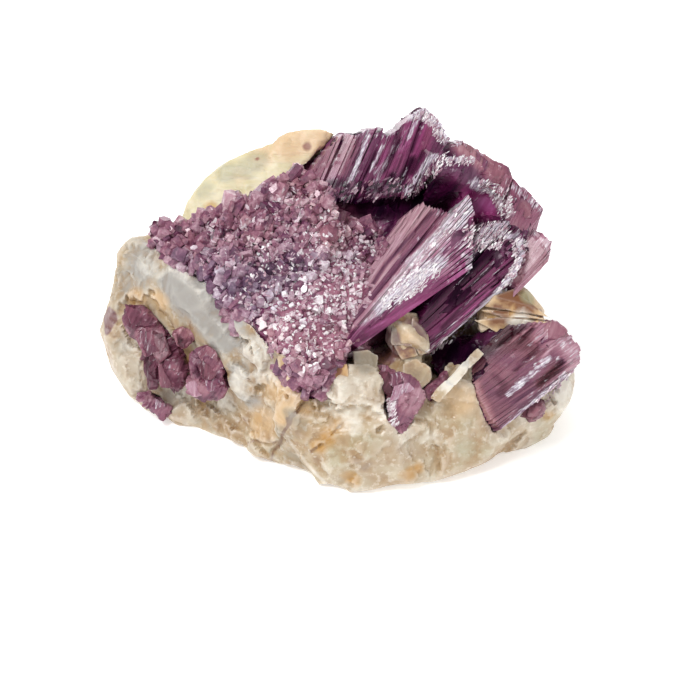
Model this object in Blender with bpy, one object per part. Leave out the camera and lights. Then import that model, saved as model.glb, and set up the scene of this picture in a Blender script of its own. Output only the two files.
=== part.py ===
# Raw lepidolite: purple mica books grown in pale albite and quartz, a hand specimen as broken.
#
# Sizes here are millimetres; a mesh is made in metres.
# Frame: +X to the right, +Y away from the viewer, +Z up, origin at the centre of the base.
#
# The rock is laid out as a carver would from one front view. A corner is given by the column
# and row where it shows on a grid over that view, counted in squares from the top left, and by
# its height above the table. seen() turns that into a place in space.

import math
import random

import bmesh
import bpy
from mathutils import Matrix, Vector
from mathutils.bvhtree import BVHTree
from mathutils.kdtree import KDTree

MM = 0.001
SQUARE = 0.17  # one square of the grid
GRID_MIDDLE = 350.0  # the column and the row that pass through the aim of the view
VIEW_TILT = math.radians(38)  # the front view looks down on the rock by this much
EYE_DISTANCE = 450.0
AIM = Vector((1.0, -1.0, 12.0))
BASE_CENTRE = Vector((-1.1, 3.1, 0.0))  # moved to the origin
GAP = 0.35  # between touching pieces
SEED = 11


# Places

def seen(column, row, height):
    """The place that shows at this column and row and is this high above the table."""
    back = Vector((0, -math.cos(VIEW_TILT), math.sin(VIEW_TILT)))
    rise = Vector((0, math.sin(VIEW_TILT), math.cos(VIEW_TILT)))
    eye = AIM + back * EYE_DISTANCE
    across, up = (column - GRID_MIDDLE) * SQUARE, (GRID_MIDDLE - row) * SQUARE
    aim = AIM + Vector((across, 0, 0)) + rise * up
    reach = (height - eye.z) / (aim.z - eye.z)
    return eye.lerp(aim, reach) - BASE_CENTRE


def shown(corners):
    return [seen(*corner) for corner in corners]


def places(corners):
    return [Vector(corner) - BASE_CENTRE for corner in corners]


# The pale rock, as overlapping masses

WEST_BLOCK = shown([
    (104, 318, 13), (103, 330, 11), (107, 348, 8), (116, 374, 4.5), (134, 396, 1.5),
    (158, 418, -1), (188, 434, -1), (232, 447, -1), (113, 268, 23), (128, 247, 26),
    (146, 238, 28), (194, 330, 16), (240, 400, 8), (173, 273, 25),
]) + places([(-36, 14, 1), (-34, 18, 20), (-20, 10, 22), (-15, 0, 0)])

QUARTZ_BLOCK = shown([
    (164, 270, 25.5), (176, 264, 26.5), (200, 276, 26.5), (232, 298, 25.5), (262, 310, 24.6),
    (290, 344, 23.8), (330, 380, 20.3), (165, 300, 21.5), (190, 330, 17.5), (214, 345, 17),
    (246, 398, 9), (256, 440, 3.5), (258, 464, -1), (306, 474, -1), (338, 402, 14),
    (300, 440, 6.5), (284, 424, 10),
]) + places([(-26, 6, 4), (-8, -6, 4), (2, -12, 4), (-22, 8, 20)])

FRONT_LOBE = shown([
    (345, 504, -1), (328, 494, 0), (284, 438, 9), (294, 414, 13), (318, 396, 16),
    (340, 384, 18), (366, 378, 19), (386, 382, 18.5), (402, 398, 16.5), (412, 420, 13),
    (392, 492, -1), (438, 486, -1), (316, 474, 3), (420, 460, 5),
]) + places([(12, -8, 0), (-8, -12, 2), (8, -6, 14)])

RIGHT_BASE = shown([
    (438, 486, -1), (470, 464, -1), (505, 454, -1), (538, 440, 0), (560, 424, 3),
    (566, 405, 6), (570, 388, 9), (573, 368, 13), (556, 374, 13.5), (530, 410, 9),
    (505, 430, 7.5), (470, 412, 10.5), (444, 396, 13), (424, 400, 14.5), (412, 420, 12.5),
]) + places([(30, 12, -1), (36, 6, 3), (35, 6, 12), (14, 6, 10), (8, 0, -1)])

MIDDLE_BLOCK = shown([
    (391, 322, 23), (405, 312, 23.8), (416, 312, 23.5), (427, 338, 21), (428, 354, 19),
    (412, 356, 19.5), (394, 345, 20.5),
]) + places([(14, 2, 13), (6, -4, 11), (12, -10, 11)])

SADDLE_BLOCK = shown([
    (352, 353, 20.5), (366, 349, 20.8), (378, 354, 20), (379, 380, 18), (354, 385, 17.8),
]) + places([(4, -8, 12), (-2, -12, 12), (8, -12, 12)])

YELLOW_BLOCK = shown([
    (331, 368, 20.2), (349, 362, 20.6), (352, 382, 18.8), (333, 386, 18.0),
]) + places([(-2, -10, 12), (2, -13, 12)])

KNUCKLE_BLOCK = shown([
    (400, 362, 18.2), (416, 358, 19), (431, 366, 18), (434, 384, 15.6), (418, 398, 14),
    (402, 384, 16),
]) + places([(10, -8, 9), (15, -10, 9)])

WHITE_BAR = shown([
    (430, 396, 14.6), (440, 404, 14), (470, 352, 18.4), (478, 349, 18.4), (485, 358, 17.6),
]) + places([(16, -8, 8), (24, 0, 8)])

CORE = places([
    (-32, -2, -1), (-31, 16, -1), (-20, 26, -1), (8, 28, -1), (26, 21, -1), (33, 2, -1),
    (16, -17, -1), (-14, -16, -1), (-31, 10, 22), (-22, 21, 24), (0, 25, 24), (20, 21, 21),
    (29, 8, 13), (10, -8, 13), (-10, -9, 18),
])

# Tan blades of feldspar between the two big mica books

TAN_BLADES = [
    shown([(482, 312, 22), (494, 295, 24.2), (512, 289, 24), (548, 320, 20.6), (486, 320, 20.5)])
    + places([(24, 8, 14), (33, 6, 13)]),
    shown([(508, 290, 24.4), (526, 290, 24), (531, 306, 22.4), (506, 308, 21.6)])
    + places([(28, 12, 12), (32, 10, 12)]),
    shown([(476, 322, 20.4), (500, 316, 21.2), (552, 322, 20.0), (520, 327, 19.0),
           (496, 334, 18.2)])
    + places([(24, 4, 12), (34, 5, 12)]),
]

ROCK_MASSES = [WEST_BLOCK, QUARTZ_BLOCK, FRONT_LOBE, RIGHT_BASE, MIDDLE_BLOCK, SADDLE_BLOCK,
               YELLOW_BLOCK, KNUCKLE_BLOCK, WHITE_BAR, CORE] + TAN_BLADES

# The feldspar crystal that stands behind the purple slab

FELDSPAR = shown([
    (179, 224, 25), (192, 191, 30), (202, 175, 32), (221, 158, 34.5), (254, 141, 37),
    (287, 129, 38.5), (308, 127, 39), (344, 130, 38.6), (352, 150, 36), (200, 228, 27),
    (250, 208, 30), (300, 186, 32.5),
]) + places([(-27, 23, 20), (-20, 29, 12), (-2, 31, 14), (6, 29, 26), (-24, 17, 12), (0, 20, 16)])

# The purple slab: its lower terrace, and the raised terrace along its back

LOWER_TERRACE = shown([
    (230, 300, 25.6), (262, 321, 24.6), (290, 345, 23.8), (304, 366, 22.4), (310, 374, 21.4),
    (332, 374, 20.4), (346, 352, 21.4), (366, 300, 25.4), (380, 254, 28.6),
    (368, 230, 30.4), (320, 218, 32.0), (220, 268, 28.5), (206, 284, 27.0),
])
UPPER_TERRACE = shown([
    (148, 238, 28.8), (164, 230, 30.4), (190, 220, 32.4), (222, 208, 34.6),
    (250, 196, 36.0), (276, 184, 37.2), (302, 172, 38.4), (334, 196, 36.2),
    (346, 226, 32.8), (330, 254, 30.6), (276, 270, 29.2), (230, 282, 28.0),
    (186, 268, 27.4), (160, 250, 27.4),
])
SLAB_THICKNESS = 8.0

# Grains that crust the slab: blocks of mica, all leaning the way the books run

GRAIN_SPACING = 2.55
GRAIN_SIZE = (2.2, 4.4)
GRAIN_LEAN = Vector((0.5, 0.35, 0.8))
GRAIN_RISE = 0.35


# The books: each is a pile of blades, side by side

class Book:
    """A pile of mica blades. An edge runs from a tip to a foot, and a blade fills the room
    between one edge and the next. Each blade stands a little before or behind the last."""

    def __init__(self, edges, depth, stagger, ragged, seed):
        self.edges = [(seen(*tip), seen(*foot)) for tip, foot in edges]
        self.depth = Vector(depth)  # how far a blade reaches away from the viewer
        self.stagger = stagger
        self.ragged = ragged
        self.seed = seed


CREST_BOOK = Book([
    ((314, 166, 37.6), (300, 196, 34.2)), ((329, 147, 39.6), (306, 200, 33.8)),
    ((342, 134, 41.5), (312, 204, 33.4)), ((357, 136, 42.0), (326, 204, 33.2)),
    ((367, 129, 43.0), (334, 202, 33.0)), ((382, 128, 43.6), (348, 202, 32.8)),
    ((386, 138, 43.0), (356, 204, 32.6)), ((400, 127, 44.0), (368, 202, 32.8)),
    ((413, 115, 45.5), (382, 198, 33.2)), ((424, 108, 46.8), (394, 196, 33.2)),
    ((437, 119, 46.5), (404, 196, 33.2)), ((450, 140, 45.0), (415, 196, 33.0)),
], depth=(-1, 8, -5.2), stagger=0.8, ragged=0.35, seed=3)

LILAC_BOOK = Book([
    ((402, 219, 33.0), (378, 250, 29.0)), ((420, 205, 34.6), (362, 290, 26.0)),
    ((436, 209, 34.6), (355, 314, 24.5)), ((449, 215, 34.5), (349, 334, 23.5)),
    ((468, 194, 37.6), (344, 345, 22.6)), ((473, 211, 36.5), (344, 352, 21.6)),
    ((472, 235, 34.0), (353, 344, 21.4)), ((471, 263, 31.0), (362, 330, 21.4)),
], depth=(-2, 3.5, -4.5), stagger=0.6, ragged=0.6, seed=9)

DARK_BOOK = Book([
    ((486, 226, 34.5), (430, 300, 26.5)), ((504, 221, 34.0), (422, 314, 24.5)),
    ((520, 230, 32.6), (417, 326, 22.5)), ((525, 250, 30.2), (418, 338, 20.6)),
    ((515, 274, 27.6), (421, 347, 19.0)), ((497, 293, 25.0), (426, 354, 17.6)),
], depth=(-3, 6, -4), stagger=0.6, ragged=0.4, seed=13)

RIGHT_BOOK = Book([
    ((497, 326, 20.6), (452, 352, 16.6)), ((522, 324, 21.2), (466, 372, 15.2)),
    ((551, 320, 21.0), (474, 386, 14.8)), ((567, 333, 19.8), (478, 396, 14.0)),
    ((579, 347, 18.0), (484, 408, 12.5)), ((579, 360, 16.5), (490, 420, 11.0)),
    ((572, 372, 15.0), (500, 430, 9.5)),
], depth=(-3, 6, -6), stagger=0.6, ragged=0.5, seed=17)

# Masses of mica that join the books

CREST_BED = shown([
    (296, 200, 33.5), (330, 216, 31.0), (350, 240, 28.8), (384, 236, 29.0), (410, 208, 31.4),
    (440, 214, 30.6), (470, 230, 30.4),
]) + places([(-10, 20, 31), (-8, 22, 22), (22, 20, 31), (20, 22, 20), (2, 0, 20), (18, 4, 20)])
CREST_BACK = places([
    (-12, 20, 22), (-11, 24, 33), (-4, 25, 35.5), (10, 26, 37.5), (17, 22, 37.5), (24, 18, 35),
    (26, 17, 20), (-8, 15.5, 33), (10, 17, 34), (24, 12, 30), (0, 27, 22), (16, 27, 24),
])
WING = shown([
    (437, 156, 44.0), (450, 139, 45.4), (461, 139, 45.0), (472, 149, 43.6), (490, 156, 42.0),
    (509, 165, 40.6), (513, 181, 39.0), (486, 188, 38.5), (438, 170, 43.0), (420, 204, 33),
    (452, 212, 31.6), (470, 218, 31.0),
]) + places([(16, 23, 24), (28, 17, 24)])
EAST_BLOCK = shown([
    (486, 172, 40.2), (513, 180, 39.0), (542, 209, 33.6), (534, 232, 31.2), (513, 242, 29.6),
    (494, 224, 31.2), (466, 218, 31.2), (466, 192, 36.4),
]) + places([(30, 14, 22), (22, 16, 22), (20, 8, 22)])
EAST_SHELL = shown([
    (510, 240, 29.8), (534, 230, 31.8), (550, 241, 30.8), (548, 260, 28.6), (533, 272, 27.0),
    (512, 294, 24.6), (500, 288, 24.8),
]) + places([(31, 10, 22), (24, 10, 20)])
BOOK_ROOT = shown([
    (346, 344, 20.4), (380, 262, 27.4), (470, 250, 30), (500, 240, 30), (420, 316, 22),
    (500, 270, 26),
]) + places([(22, 14, 20), (2, -10, 17), (12, -2, 15), (24, 8, 20), (6, 16, 22)])
RIGHT_BOOK_ROOT = shown([
    (428, 352, 15.6), (452, 336, 17.4), (482, 330, 18.4), (512, 344, 18.6), (503, 396, 13.0),
    (488, 410, 11.0), (450, 376, 13.6), (432, 370, 13.8),
]) + places([(24, 5, 10), (16, -4, 9), (30, -4, 9), (33, 4, 12)])

# Single crystals set in the pale rock: each is its outline on show

FRONT_CRYSTAL = shown([
    (378, 367, 18.8), (397, 371, 18.8), (416, 380, 17.6), (420, 398, 15.6),
    (411, 424, 12.6), (400, 433, 11.4), (389, 421, 13.0), (386, 400, 15.8),
])
SIDE_CRYSTAL = shown([
    (125, 305, 18.4), (140, 307, 19.0), (152, 320, 17.8), (167, 333, 15.8), (172, 354, 13.4),
    (185, 376, 10.8), (180, 388, 9.2), (160, 390, 7.6), (144, 366, 9.6), (136, 344, 12.0),
    (129, 322, 15.2),
])
POCKET_CRYSTAL = shown([
    (172, 332, 18.0), (190, 330, 18.4), (195, 342, 16.6), (178, 346, 15.8),
])
LEDGE_CRYSTAL = shown([
    (196, 352, 16.4), (208, 346, 17.2), (219, 352, 16.4), (222, 368, 14.6), (230, 390, 11.6),
    (212, 398, 9.8), (190, 396, 9.4), (184, 386, 10.4), (198, 374, 12.8),
])
CORNER_CRYSTAL = shown([
    (141, 393, 4.6), (158, 400, 3.8), (170, 412, 2.4), (166, 420, 1.4), (150, 408, 1.8),
    (140, 402, 2.8),
])
GAP_CRYSTAL = shown([
    (420, 393, 14.6), (430, 380, 16.0), (446, 373, 16.6), (449, 380, 16.0), (436, 397, 14.4),
    (426, 399, 13.8),
])
FOOT_CRYSTAL = shown([
    (526, 414, 9.6), (535, 402, 11.2), (545, 400, 11.2), (542, 416, 9.2), (537, 422, 8.4),
])
CRYSTAL_DEPTH = 3.0
CRYSTAL_SWELL = 0.8

# Chipping of the rock, coarse then fine: spacing of the faces, most depth, lean in degrees

CHIPS = [(6.5, 1.0, 15.0), (3.0, 0.4, 16.0)]
ROCK_VOXEL = 0.9
ROCK_FACES = 2000
FELDSPAR_CHIPS = [(8.0, 0.5, 7.0)]
FELDSPAR_FACES = 300

COLOURS = {
    "albite": ((0.72, 0.66, 0.52, 1), 0.6),
    "feldspar": ((0.76, 0.66, 0.44, 1), 0.55),
    "lepidolite": ((0.30, 0.13, 0.24, 1), 0.35),
}


# Mesh tools

def material(name):
    """A Principled finish of this mineral, made once."""
    made = bpy.data.materials.get(name)
    if made is None:
        colour, roughness = COLOURS[name]
        made = bpy.data.materials.new(name)
        made.use_nodes = True
        shader = made.node_tree.nodes["Principled BSDF"]
        shader.inputs["Base Color"].default_value = colour
        shader.inputs["Roughness"].default_value = roughness
        shader.inputs["Metallic"].default_value = 0.0
    return made


def link(name, bm):
    """An object with this mesh, in metres."""
    bmesh.ops.recalc_face_normals(bm, faces=bm.faces)
    bmesh.ops.scale(bm, vec=(MM, MM, MM), verts=bm.verts)
    mesh = bpy.data.meshes.new(name)
    bm.to_mesh(mesh)
    bm.free()
    made = bpy.data.objects.new(name, mesh)
    bpy.context.scene.collection.objects.link(made)
    return made


def hull(name, corners):
    """The solid with flat faces that these corners stretch."""
    bm = bmesh.new()
    for corner in corners:
        bm.verts.new(corner)
    bmesh.ops.convex_hull(bm, input=bm.verts)
    bmesh.ops.delete(bm, geom=[v for v in bm.verts if not v.link_faces], context="VERTS")
    return link(name, bm)


def bake(made):
    """Puts what an object's modifiers make into its mesh."""
    bpy.context.view_layer.update()
    shape = made.evaluated_get(bpy.context.evaluated_depsgraph_get())
    mesh = bpy.data.meshes.new_from_object(shape)
    made.modifiers.clear()
    made.data = mesh
    return made


def largest_shell(made):
    """Keeps the outer skin alone, without any sealed gap or loose chip."""
    bm = bmesh.new()
    bm.from_mesh(made.data)
    left = set(bm.faces)
    shells = []
    while left:
        shell = {left.pop()}
        edge = list(shell)
        while edge:
            face = edge.pop()
            near = {f for e in face.edges for f in e.link_faces} & left
            left -= near
            shell |= near
            edge.extend(near)
        shells.append(shell)
    keep = max(shells, key=lambda shell: sum(face.calc_area() for face in shell))
    bmesh.ops.delete(bm, geom=[f for f in bm.faces if f not in keep], context="FACES")
    bm.to_mesh(made.data)
    bm.free()
    return made


def join_solids(name, solids):
    """One closed body from solids that overlap."""
    operands = bpy.data.collections.new(name + "_operands")
    for solid in solids[1:]:
        operands.objects.link(solid)
    base = solids[0]
    union = base.modifiers.new("union", "BOOLEAN")
    union.operation = "UNION"
    union.solver = "EXACT"
    union.operand_type = "COLLECTION"
    union.collection = operands
    bake(base)
    for solid in solids[1:]:
        bpy.data.objects.remove(solid)
    bpy.data.collections.remove(operands)
    base.name = name
    return largest_shell(base)


def cut(made, cutters):
    """Takes these solids, grown by the gap, out of a body."""
    for cutter in cutters:
        grown = swollen(cutter, GAP)
        cutting = made.modifiers.new("cut", "BOOLEAN")
        cutting.operation = "DIFFERENCE"
        cutting.solver = "EXACT"
        cutting.object = grown
        bake(made)
        bpy.data.objects.remove(grown)
    return largest_shell(made)


def swollen(made, by):
    """A copy of a solid with flat faces, with each face moved out by this much."""
    bm = bmesh.new()
    bm.from_mesh(made.data)
    bm.normal_update()
    bmesh.ops.scale(bm, vec=(1 / MM, 1 / MM, 1 / MM), verts=bm.verts)
    bm.normal_update()
    moved = {v: v.co + v.normal * by * v.calc_shell_factor() for v in bm.verts}
    for vert, place in moved.items():
        vert.co = place
    return link("grown", bm)


def decimated(made, faces):
    """The body with about this many triangles, kept closest where it bends most."""
    made.data.calc_loop_triangles()
    fewer = made.modifiers.new("fewer", "DECIMATE")
    fewer.ratio = min(1.0, faces / len(made.data.loop_triangles))
    return bake(made)


def chip(made, spacing, depth, tilt, seed, outward=1.0):
    """Breaks the surface into flat faces: each point goes to the plane of its nearest chip."""
    rng = random.Random(seed)
    mesh = made.data
    points = [v.co / MM for v in mesh.vertices]
    normals = [v.normal.copy() for v in mesh.vertices]
    tree = KDTree(len(points))
    for i, point in enumerate(points):
        tree.insert(point, i)
    tree.balance()
    order = list(range(len(points)))
    rng.shuffle(order)
    taken = set()
    chips = []
    for i in order:
        if i in taken:
            continue
        around = tree.find_range(points[i], spacing)
        taken.update(j for _, j, _ in around)
        facing = sum((normals[j] for _, j, _ in around), Vector()).normalized()
        turn = Vector([rng.uniform(-1, 1) for _ in range(3)]) * math.tan(math.radians(tilt))
        chips.append((points[i], (facing + turn * 0.6).normalized()))
    centres = KDTree(len(chips))
    for i, (centre, _) in enumerate(chips):
        centres.insert(centre, i)
    centres.balance()
    for vert, point, normal in zip(mesh.vertices, points, normals):
        _, nearest, _ = centres.find(point)
        centre, facing = chips[nearest]
        lean = normal.dot(facing)
        move = (centre - point).dot(facing) / lean if lean > 0.3 else 0.0
        vert.co = (point + normal * max(-depth, min(depth * outward, move))) * MM
    mesh.update()
    return made


def flat_base(made):
    """Cuts a body off flat at the table, as a clean cleavage face to rest on."""
    bm = bmesh.new()
    bm.from_mesh(made.data)
    everything = bm.verts[:] + bm.edges[:] + bm.faces[:]
    bmesh.ops.bisect_plane(bm, geom=everything, plane_co=(0, 0, 0), plane_no=(0, 0, 1),
                           clear_inner=True, dist=1e-7)
    rim = [e for e in bm.edges if e.is_boundary]
    bmesh.ops.holes_fill(bm, edges=rim, sides=0)
    bmesh.ops.triangulate(bm, faces=bm.faces)
    bm.to_mesh(made.data)
    bm.free()
    return made


def finish(made, name, mineral):
    made.name = name
    made.data.name = name
    made.data.materials.clear()
    made.data.materials.append(material(mineral))
    for face in made.data.polygons:
        face.use_smooth = False
    return made


# The pieces

def gridded(made):
    """The body again on an even grid of faces, ready to be chipped."""
    grid = made.modifiers.new("grid", "REMESH")
    grid.mode = "VOXEL"
    grid.voxel_size = ROCK_VOXEL * MM
    return bake(made)


def rock():
    """The pale rock: its masses grown together, chipped, and cut flat where it rests."""
    masses = [hull(f"mass_{i}", corners) for i, corners in enumerate(ROCK_MASSES)]
    body = gridded(join_solids("rock", masses))
    for i, (spacing, depth, tilt) in enumerate(CHIPS):
        chip(body, spacing, depth, tilt, SEED + i)
    decimated(body, ROCK_FACES)
    return flat_base(body)


def feldspar():
    body = gridded(hull("feldspar", FELDSPAR))
    for i, (spacing, depth, tilt) in enumerate(FELDSPAR_CHIPS):
        chip(body, spacing, depth, tilt, SEED + 20 + i, outward=0.0)
    return decimated(body, FELDSPAR_FACES)


def blade_corners(book, i, rng):
    """The corners of one blade: four in front, four behind, and a point on its broken end."""
    (tip, foot), (next_tip, next_foot) = book.edges[i], book.edges[i + 1]
    run = ((tip + next_tip) - (foot + next_foot)).normalized()
    step = book.depth.normalized() * rng.uniform(-book.stagger, book.stagger)
    tips, feet = (tip, next_tip), (foot, next_foot)
    front = []
    for a, b in (tips, feet):
        lap = (b - a) * 0.06
        front += [a - lap + step, b + lap + step]
    front[0] += run * rng.uniform(-book.ragged, book.ragged)
    front[1] += run * rng.uniform(-book.ragged, book.ragged)
    behind = [p + book.depth * rng.uniform(0.85, 1.1) for p in front]
    point = (front[0] + front[1]) / 2 + book.depth * rng.uniform(0.3, 0.7)
    point += run * rng.uniform(0.2, 0.8) * book.ragged
    return front + behind + [point]


def blades(book, name):
    rng = random.Random(book.seed)
    return [hull(f"{name}_{i}", blade_corners(book, i, rng)) for i in range(len(book.edges) - 1)]


def slab_of(name, outline, thickness):
    """A slab under an outline: the outline as its top, and the same set back below."""
    centre = sum(outline, Vector()) / len(outline)
    below = [p.lerp(centre, 0.12) - Vector((0, 0, thickness)) for p in outline]
    return hull(name, outline + below)


def grain(name, place, size, rng):
    """A small block of mica with uneven corners, leaning with the books."""
    tilt = Vector([rng.uniform(-0.5, 0.5) for _ in range(3)])
    axis = (GRAIN_LEAN + tilt).normalized()
    turn = axis.to_track_quat("Z", "Y").to_matrix() @ Matrix.Rotation(rng.uniform(0, 3.14), 3, "Z")
    wide, deep, tall = (size * rng.uniform(0.6, 0.9), size * rng.uniform(0.5, 0.8),
                        size * rng.uniform(0.8, 1.2))
    corners = []
    for sx in (-0.5, 0.5):
        for sy in (-0.5, 0.5):
            for sz in (-0.5, 0.5):
                pull = [rng.uniform(0.72, 1.0) for _ in range(3)]
                corner = (sx * wide * pull[0], sy * deep * pull[1], sz * tall * pull[2])
                corners.append(place + turn @ Vector(corner))
    return hull(name, corners)


def grains(name, slab, outline, seed):
    """Grains stood on a slab, over its outline, none nearer its rim than half a grain."""
    rng = random.Random(seed)
    bm = bmesh.new()
    bm.from_mesh(slab.data)
    top = BVHTree.FromBMesh(bm)
    bm.free()
    centre = sum(outline, Vector()) / len(outline)
    inset = [p.lerp(centre, 0.06) for p in outline]
    made, taken = [], []
    for _ in range(4000):
        i = rng.randrange(len(inset))
        a, b = inset[i], inset[(i + 1) % len(inset)]
        u, v = rng.random(), rng.random()
        if u + v > 1:
            u, v = 1 - u, 1 - v
        spot = centre + (a - centre) * u + (b - centre) * v
        hit = top.ray_cast(Vector((spot.x, spot.y, 80)) * MM, Vector((0, 0, -1)))[0]
        if hit is None:
            continue
        place = hit / MM
        if any((place - other).length < GRAIN_SPACING for other in taken):
            continue
        taken.append(place)
        place = place + Vector((0, 0, rng.uniform(-0.5, 1.0) * GRAIN_RISE))
        made.append(grain(f"{name}_{len(made)}", place, rng.uniform(*GRAIN_SIZE), rng))
    return made


def crystal(name, outline):
    """A crystal set in the rock: its outline, swollen outwards, and a smaller foot inside."""
    centre = sum(outline, Vector()) / len(outline)
    facing = Vector()
    for a, b in zip(outline, outline[1:] + outline[:1]):
        facing += (a - centre).cross(b - centre)
    facing.normalize()
    if facing.y > 0:
        facing = -facing
    crown = [p.lerp(centre, 0.45) + facing * CRYSTAL_SWELL for p in outline[::2]]
    foot = [p.lerp(centre, 0.25) - facing * CRYSTAL_DEPTH for p in outline]
    return hull(name, outline + crown + foot)


def main():
    for old in list(bpy.data.objects):
        bpy.data.objects.remove(old)
    pale_rock = rock()
    back_crystal = feldspar()
    lower = slab_of("lower_terrace", LOWER_TERRACE, SLAB_THICKNESS)
    upper = slab_of("upper_terrace", UPPER_TERRACE, SLAB_THICKNESS)
    crust = grains("low", lower, LOWER_TERRACE, 31) + grains("high", upper, UPPER_TERRACE, 37)
    masses = [CREST_BED, CREST_BACK, WING, EAST_BLOCK, EAST_SHELL, BOOK_ROOT]
    purple = [lower, upper] + [hull(f"purple_{i}", m) for i, m in enumerate(masses)]
    purple += blades(CREST_BOOK, "crest") + blades(LILAC_BOOK, "lilac") + blades(DARK_BOOK, "dark")
    right = [hull("right_root", RIGHT_BOOK_ROOT)] + blades(RIGHT_BOOK, "right")
    singles = {
        "lepidolite_front_crystal": crystal("front", FRONT_CRYSTAL),
        "lepidolite_side_crystal": crystal("side", SIDE_CRYSTAL),
        "lepidolite_pocket_crystal": crystal("pocket", POCKET_CRYSTAL),
        "lepidolite_ledge_crystal": crystal("ledge", LEDGE_CRYSTAL),
        "lepidolite_corner_crystal": crystal("corner", CORNER_CRYSTAL),
        "lepidolite_gap_crystal": crystal("gap", GAP_CRYSTAL),
        "lepidolite_foot_crystal": crystal("foot", FOOT_CRYSTAL),
    }
    for name in ("lepidolite_foot_crystal", "lepidolite_gap_crystal"):
        cut(singles[name], right)
    socket = hull("socket", FELDSPAR)
    cut(pale_rock, purple + right + list(singles.values()) + [socket])
    bpy.data.objects.remove(socket)
    cut(back_crystal, purple)
    finish(join_solids("cluster", purple + crust), "lepidolite_cluster", "lepidolite")
    finish(join_solids("right", right), "lepidolite_right_book", "lepidolite")
    for name, made in singles.items():
        finish(made, name, "lepidolite")
    finish(back_crystal, "feldspar_crystal", "feldspar")
    finish(pale_rock, "albite_matrix", "albite")
    for made in bpy.data.objects:
        print(made.name, len(made.data.polygons), "faces")


main()
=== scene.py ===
# %% [markdown]
# # Raw lepidolite, dressed for its picture
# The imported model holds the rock's main shapes: a pale rock, a smooth feldspar crystal and the
# purple mica. On the real thing nearly all of the look comes from grains and laminae a fraction
# of a millimetre thick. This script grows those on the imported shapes, one mineral at a time.

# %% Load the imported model
import math
import random

import bpy
import numpy as np
from mathutils import Matrix, Vector
from mathutils.bvhtree import BVHTree
from mathutils.kdtree import KDTree


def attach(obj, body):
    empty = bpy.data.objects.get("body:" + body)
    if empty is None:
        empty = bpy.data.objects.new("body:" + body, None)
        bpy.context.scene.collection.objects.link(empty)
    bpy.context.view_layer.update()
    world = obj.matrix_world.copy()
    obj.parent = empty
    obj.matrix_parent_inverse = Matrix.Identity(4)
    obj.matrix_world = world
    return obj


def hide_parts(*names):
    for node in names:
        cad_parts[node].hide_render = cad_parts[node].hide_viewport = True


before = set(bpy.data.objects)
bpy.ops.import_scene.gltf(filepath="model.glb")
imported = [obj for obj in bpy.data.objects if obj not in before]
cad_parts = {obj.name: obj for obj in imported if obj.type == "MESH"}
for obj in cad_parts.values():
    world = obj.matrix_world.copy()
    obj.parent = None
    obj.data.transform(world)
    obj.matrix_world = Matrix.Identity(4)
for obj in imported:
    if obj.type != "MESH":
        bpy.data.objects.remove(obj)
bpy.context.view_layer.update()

MM = 0.001
print("nodes:", sorted(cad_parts))

# %% [markdown]
# ## One view for everything
# The rock was laid out from one front view, so the camera comes first. A feature that shows at
# some column and row of that view is found again by looking along that line of sight until it
# meets the rock. The lens is long, as for a product picture, so that near and far keep their size.

# %% The camera
PICTURE_SIDE = 700  # squares of the picture's grid, each way
SQUARE = 0.17 * MM  # one square of that grid, at the aim
GRID_MIDDLE = PICTURE_SIDE / 2
SENSOR = 36.0
VIEW_TILT = math.radians(38)
EYE_DISTANCE = 450 * MM
AIM = Vector((2.1, -4.1, 12.0)) * MM
BACK = Vector((0, -math.cos(VIEW_TILT), math.sin(VIEW_TILT)))
RISE = Vector((0, math.sin(VIEW_TILT), math.cos(VIEW_TILT)))
EYE = AIM + BACK * EYE_DISTANCE


def placed(name, data):
    """A new object for this data, in the scene."""
    made = bpy.data.objects.new(name, data)
    bpy.context.scene.collection.objects.link(made)
    return made


camera = placed("camera", bpy.data.cameras.new("camera"))
camera.location = EYE
camera.rotation_euler = (math.pi / 2 - VIEW_TILT, 0, 0)
camera.data.sensor_width = SENSOR
camera.data.lens = SENSOR * EYE_DISTANCE / (PICTURE_SIDE * SQUARE)
camera.data.clip_start = 0.01
bpy.context.scene.camera = camera
print("lens", round(camera.data.lens, 1), "mm")


# %% Places in the view
def sight(column, row):
    """The direction in which this column and row of the view lies from the eye."""
    across, up = (column - GRID_MIDDLE) * SQUARE, (GRID_MIDDLE - row) * SQUARE
    return (AIM + Vector((across, 0, 0)) + RISE * up - EYE).normalized()


def seen(column, row, height):
    """The place that shows there and is this many millimetres above the table."""
    look = sight(column, row)
    return EYE + look * ((height * MM - EYE.z) / look.z)


def shown(corners):
    return [seen(*corner) for corner in corners]


def surface_of(pieces):
    """One surface to look at or measure from, made of all these pieces."""
    points, faces = [], []
    for piece in pieces:
        start = len(points)
        points += [v.co.copy() for v in piece.data.vertices]
        faces += [[start + i for i in face.vertices] for face in piece.data.polygons]
    return BVHTree.FromPolygons(points, faces)


def view_of(places):
    """The columns and rows of the view where these places, in millimetres, show."""
    away = np.asarray(places) * MM - np.array(EYE)
    scale = EYE_DISTANCE / -(away @ np.array(BACK)) / SQUARE
    return GRID_MIDDLE + away[:, 0] * scale, GRID_MIDDLE - (away @ np.array(RISE)) * scale


def inside(x, y, outline):
    """Whether a flat point lies inside a flat outline."""
    within = False
    for (ax, ay), (bx, by) in zip(outline, outline[1:] + outline[:1]):
        if (ay > y) != (by > y) and x < (bx - ax) * (y - ay) / (by - ay) + ax:
            within = not within
    return within
rest = surface_of(list(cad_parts.values()))
print("the view's middle meets the rock at",
      rest.ray_cast(EYE, sight(GRID_MIDDLE, GRID_MIDDLE))[0])

# %% [markdown]
# ## Tools for stone
# A broken rock has flat faces at every size, so the solids are put on a fine even grid, and then
# each point is moved onto whichever plane of the chips around it cuts deepest. That is how a real
# cleavage break looks, and it needs no sculpting. Every finished piece stays at the origin with
# its place in its mesh.


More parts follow.
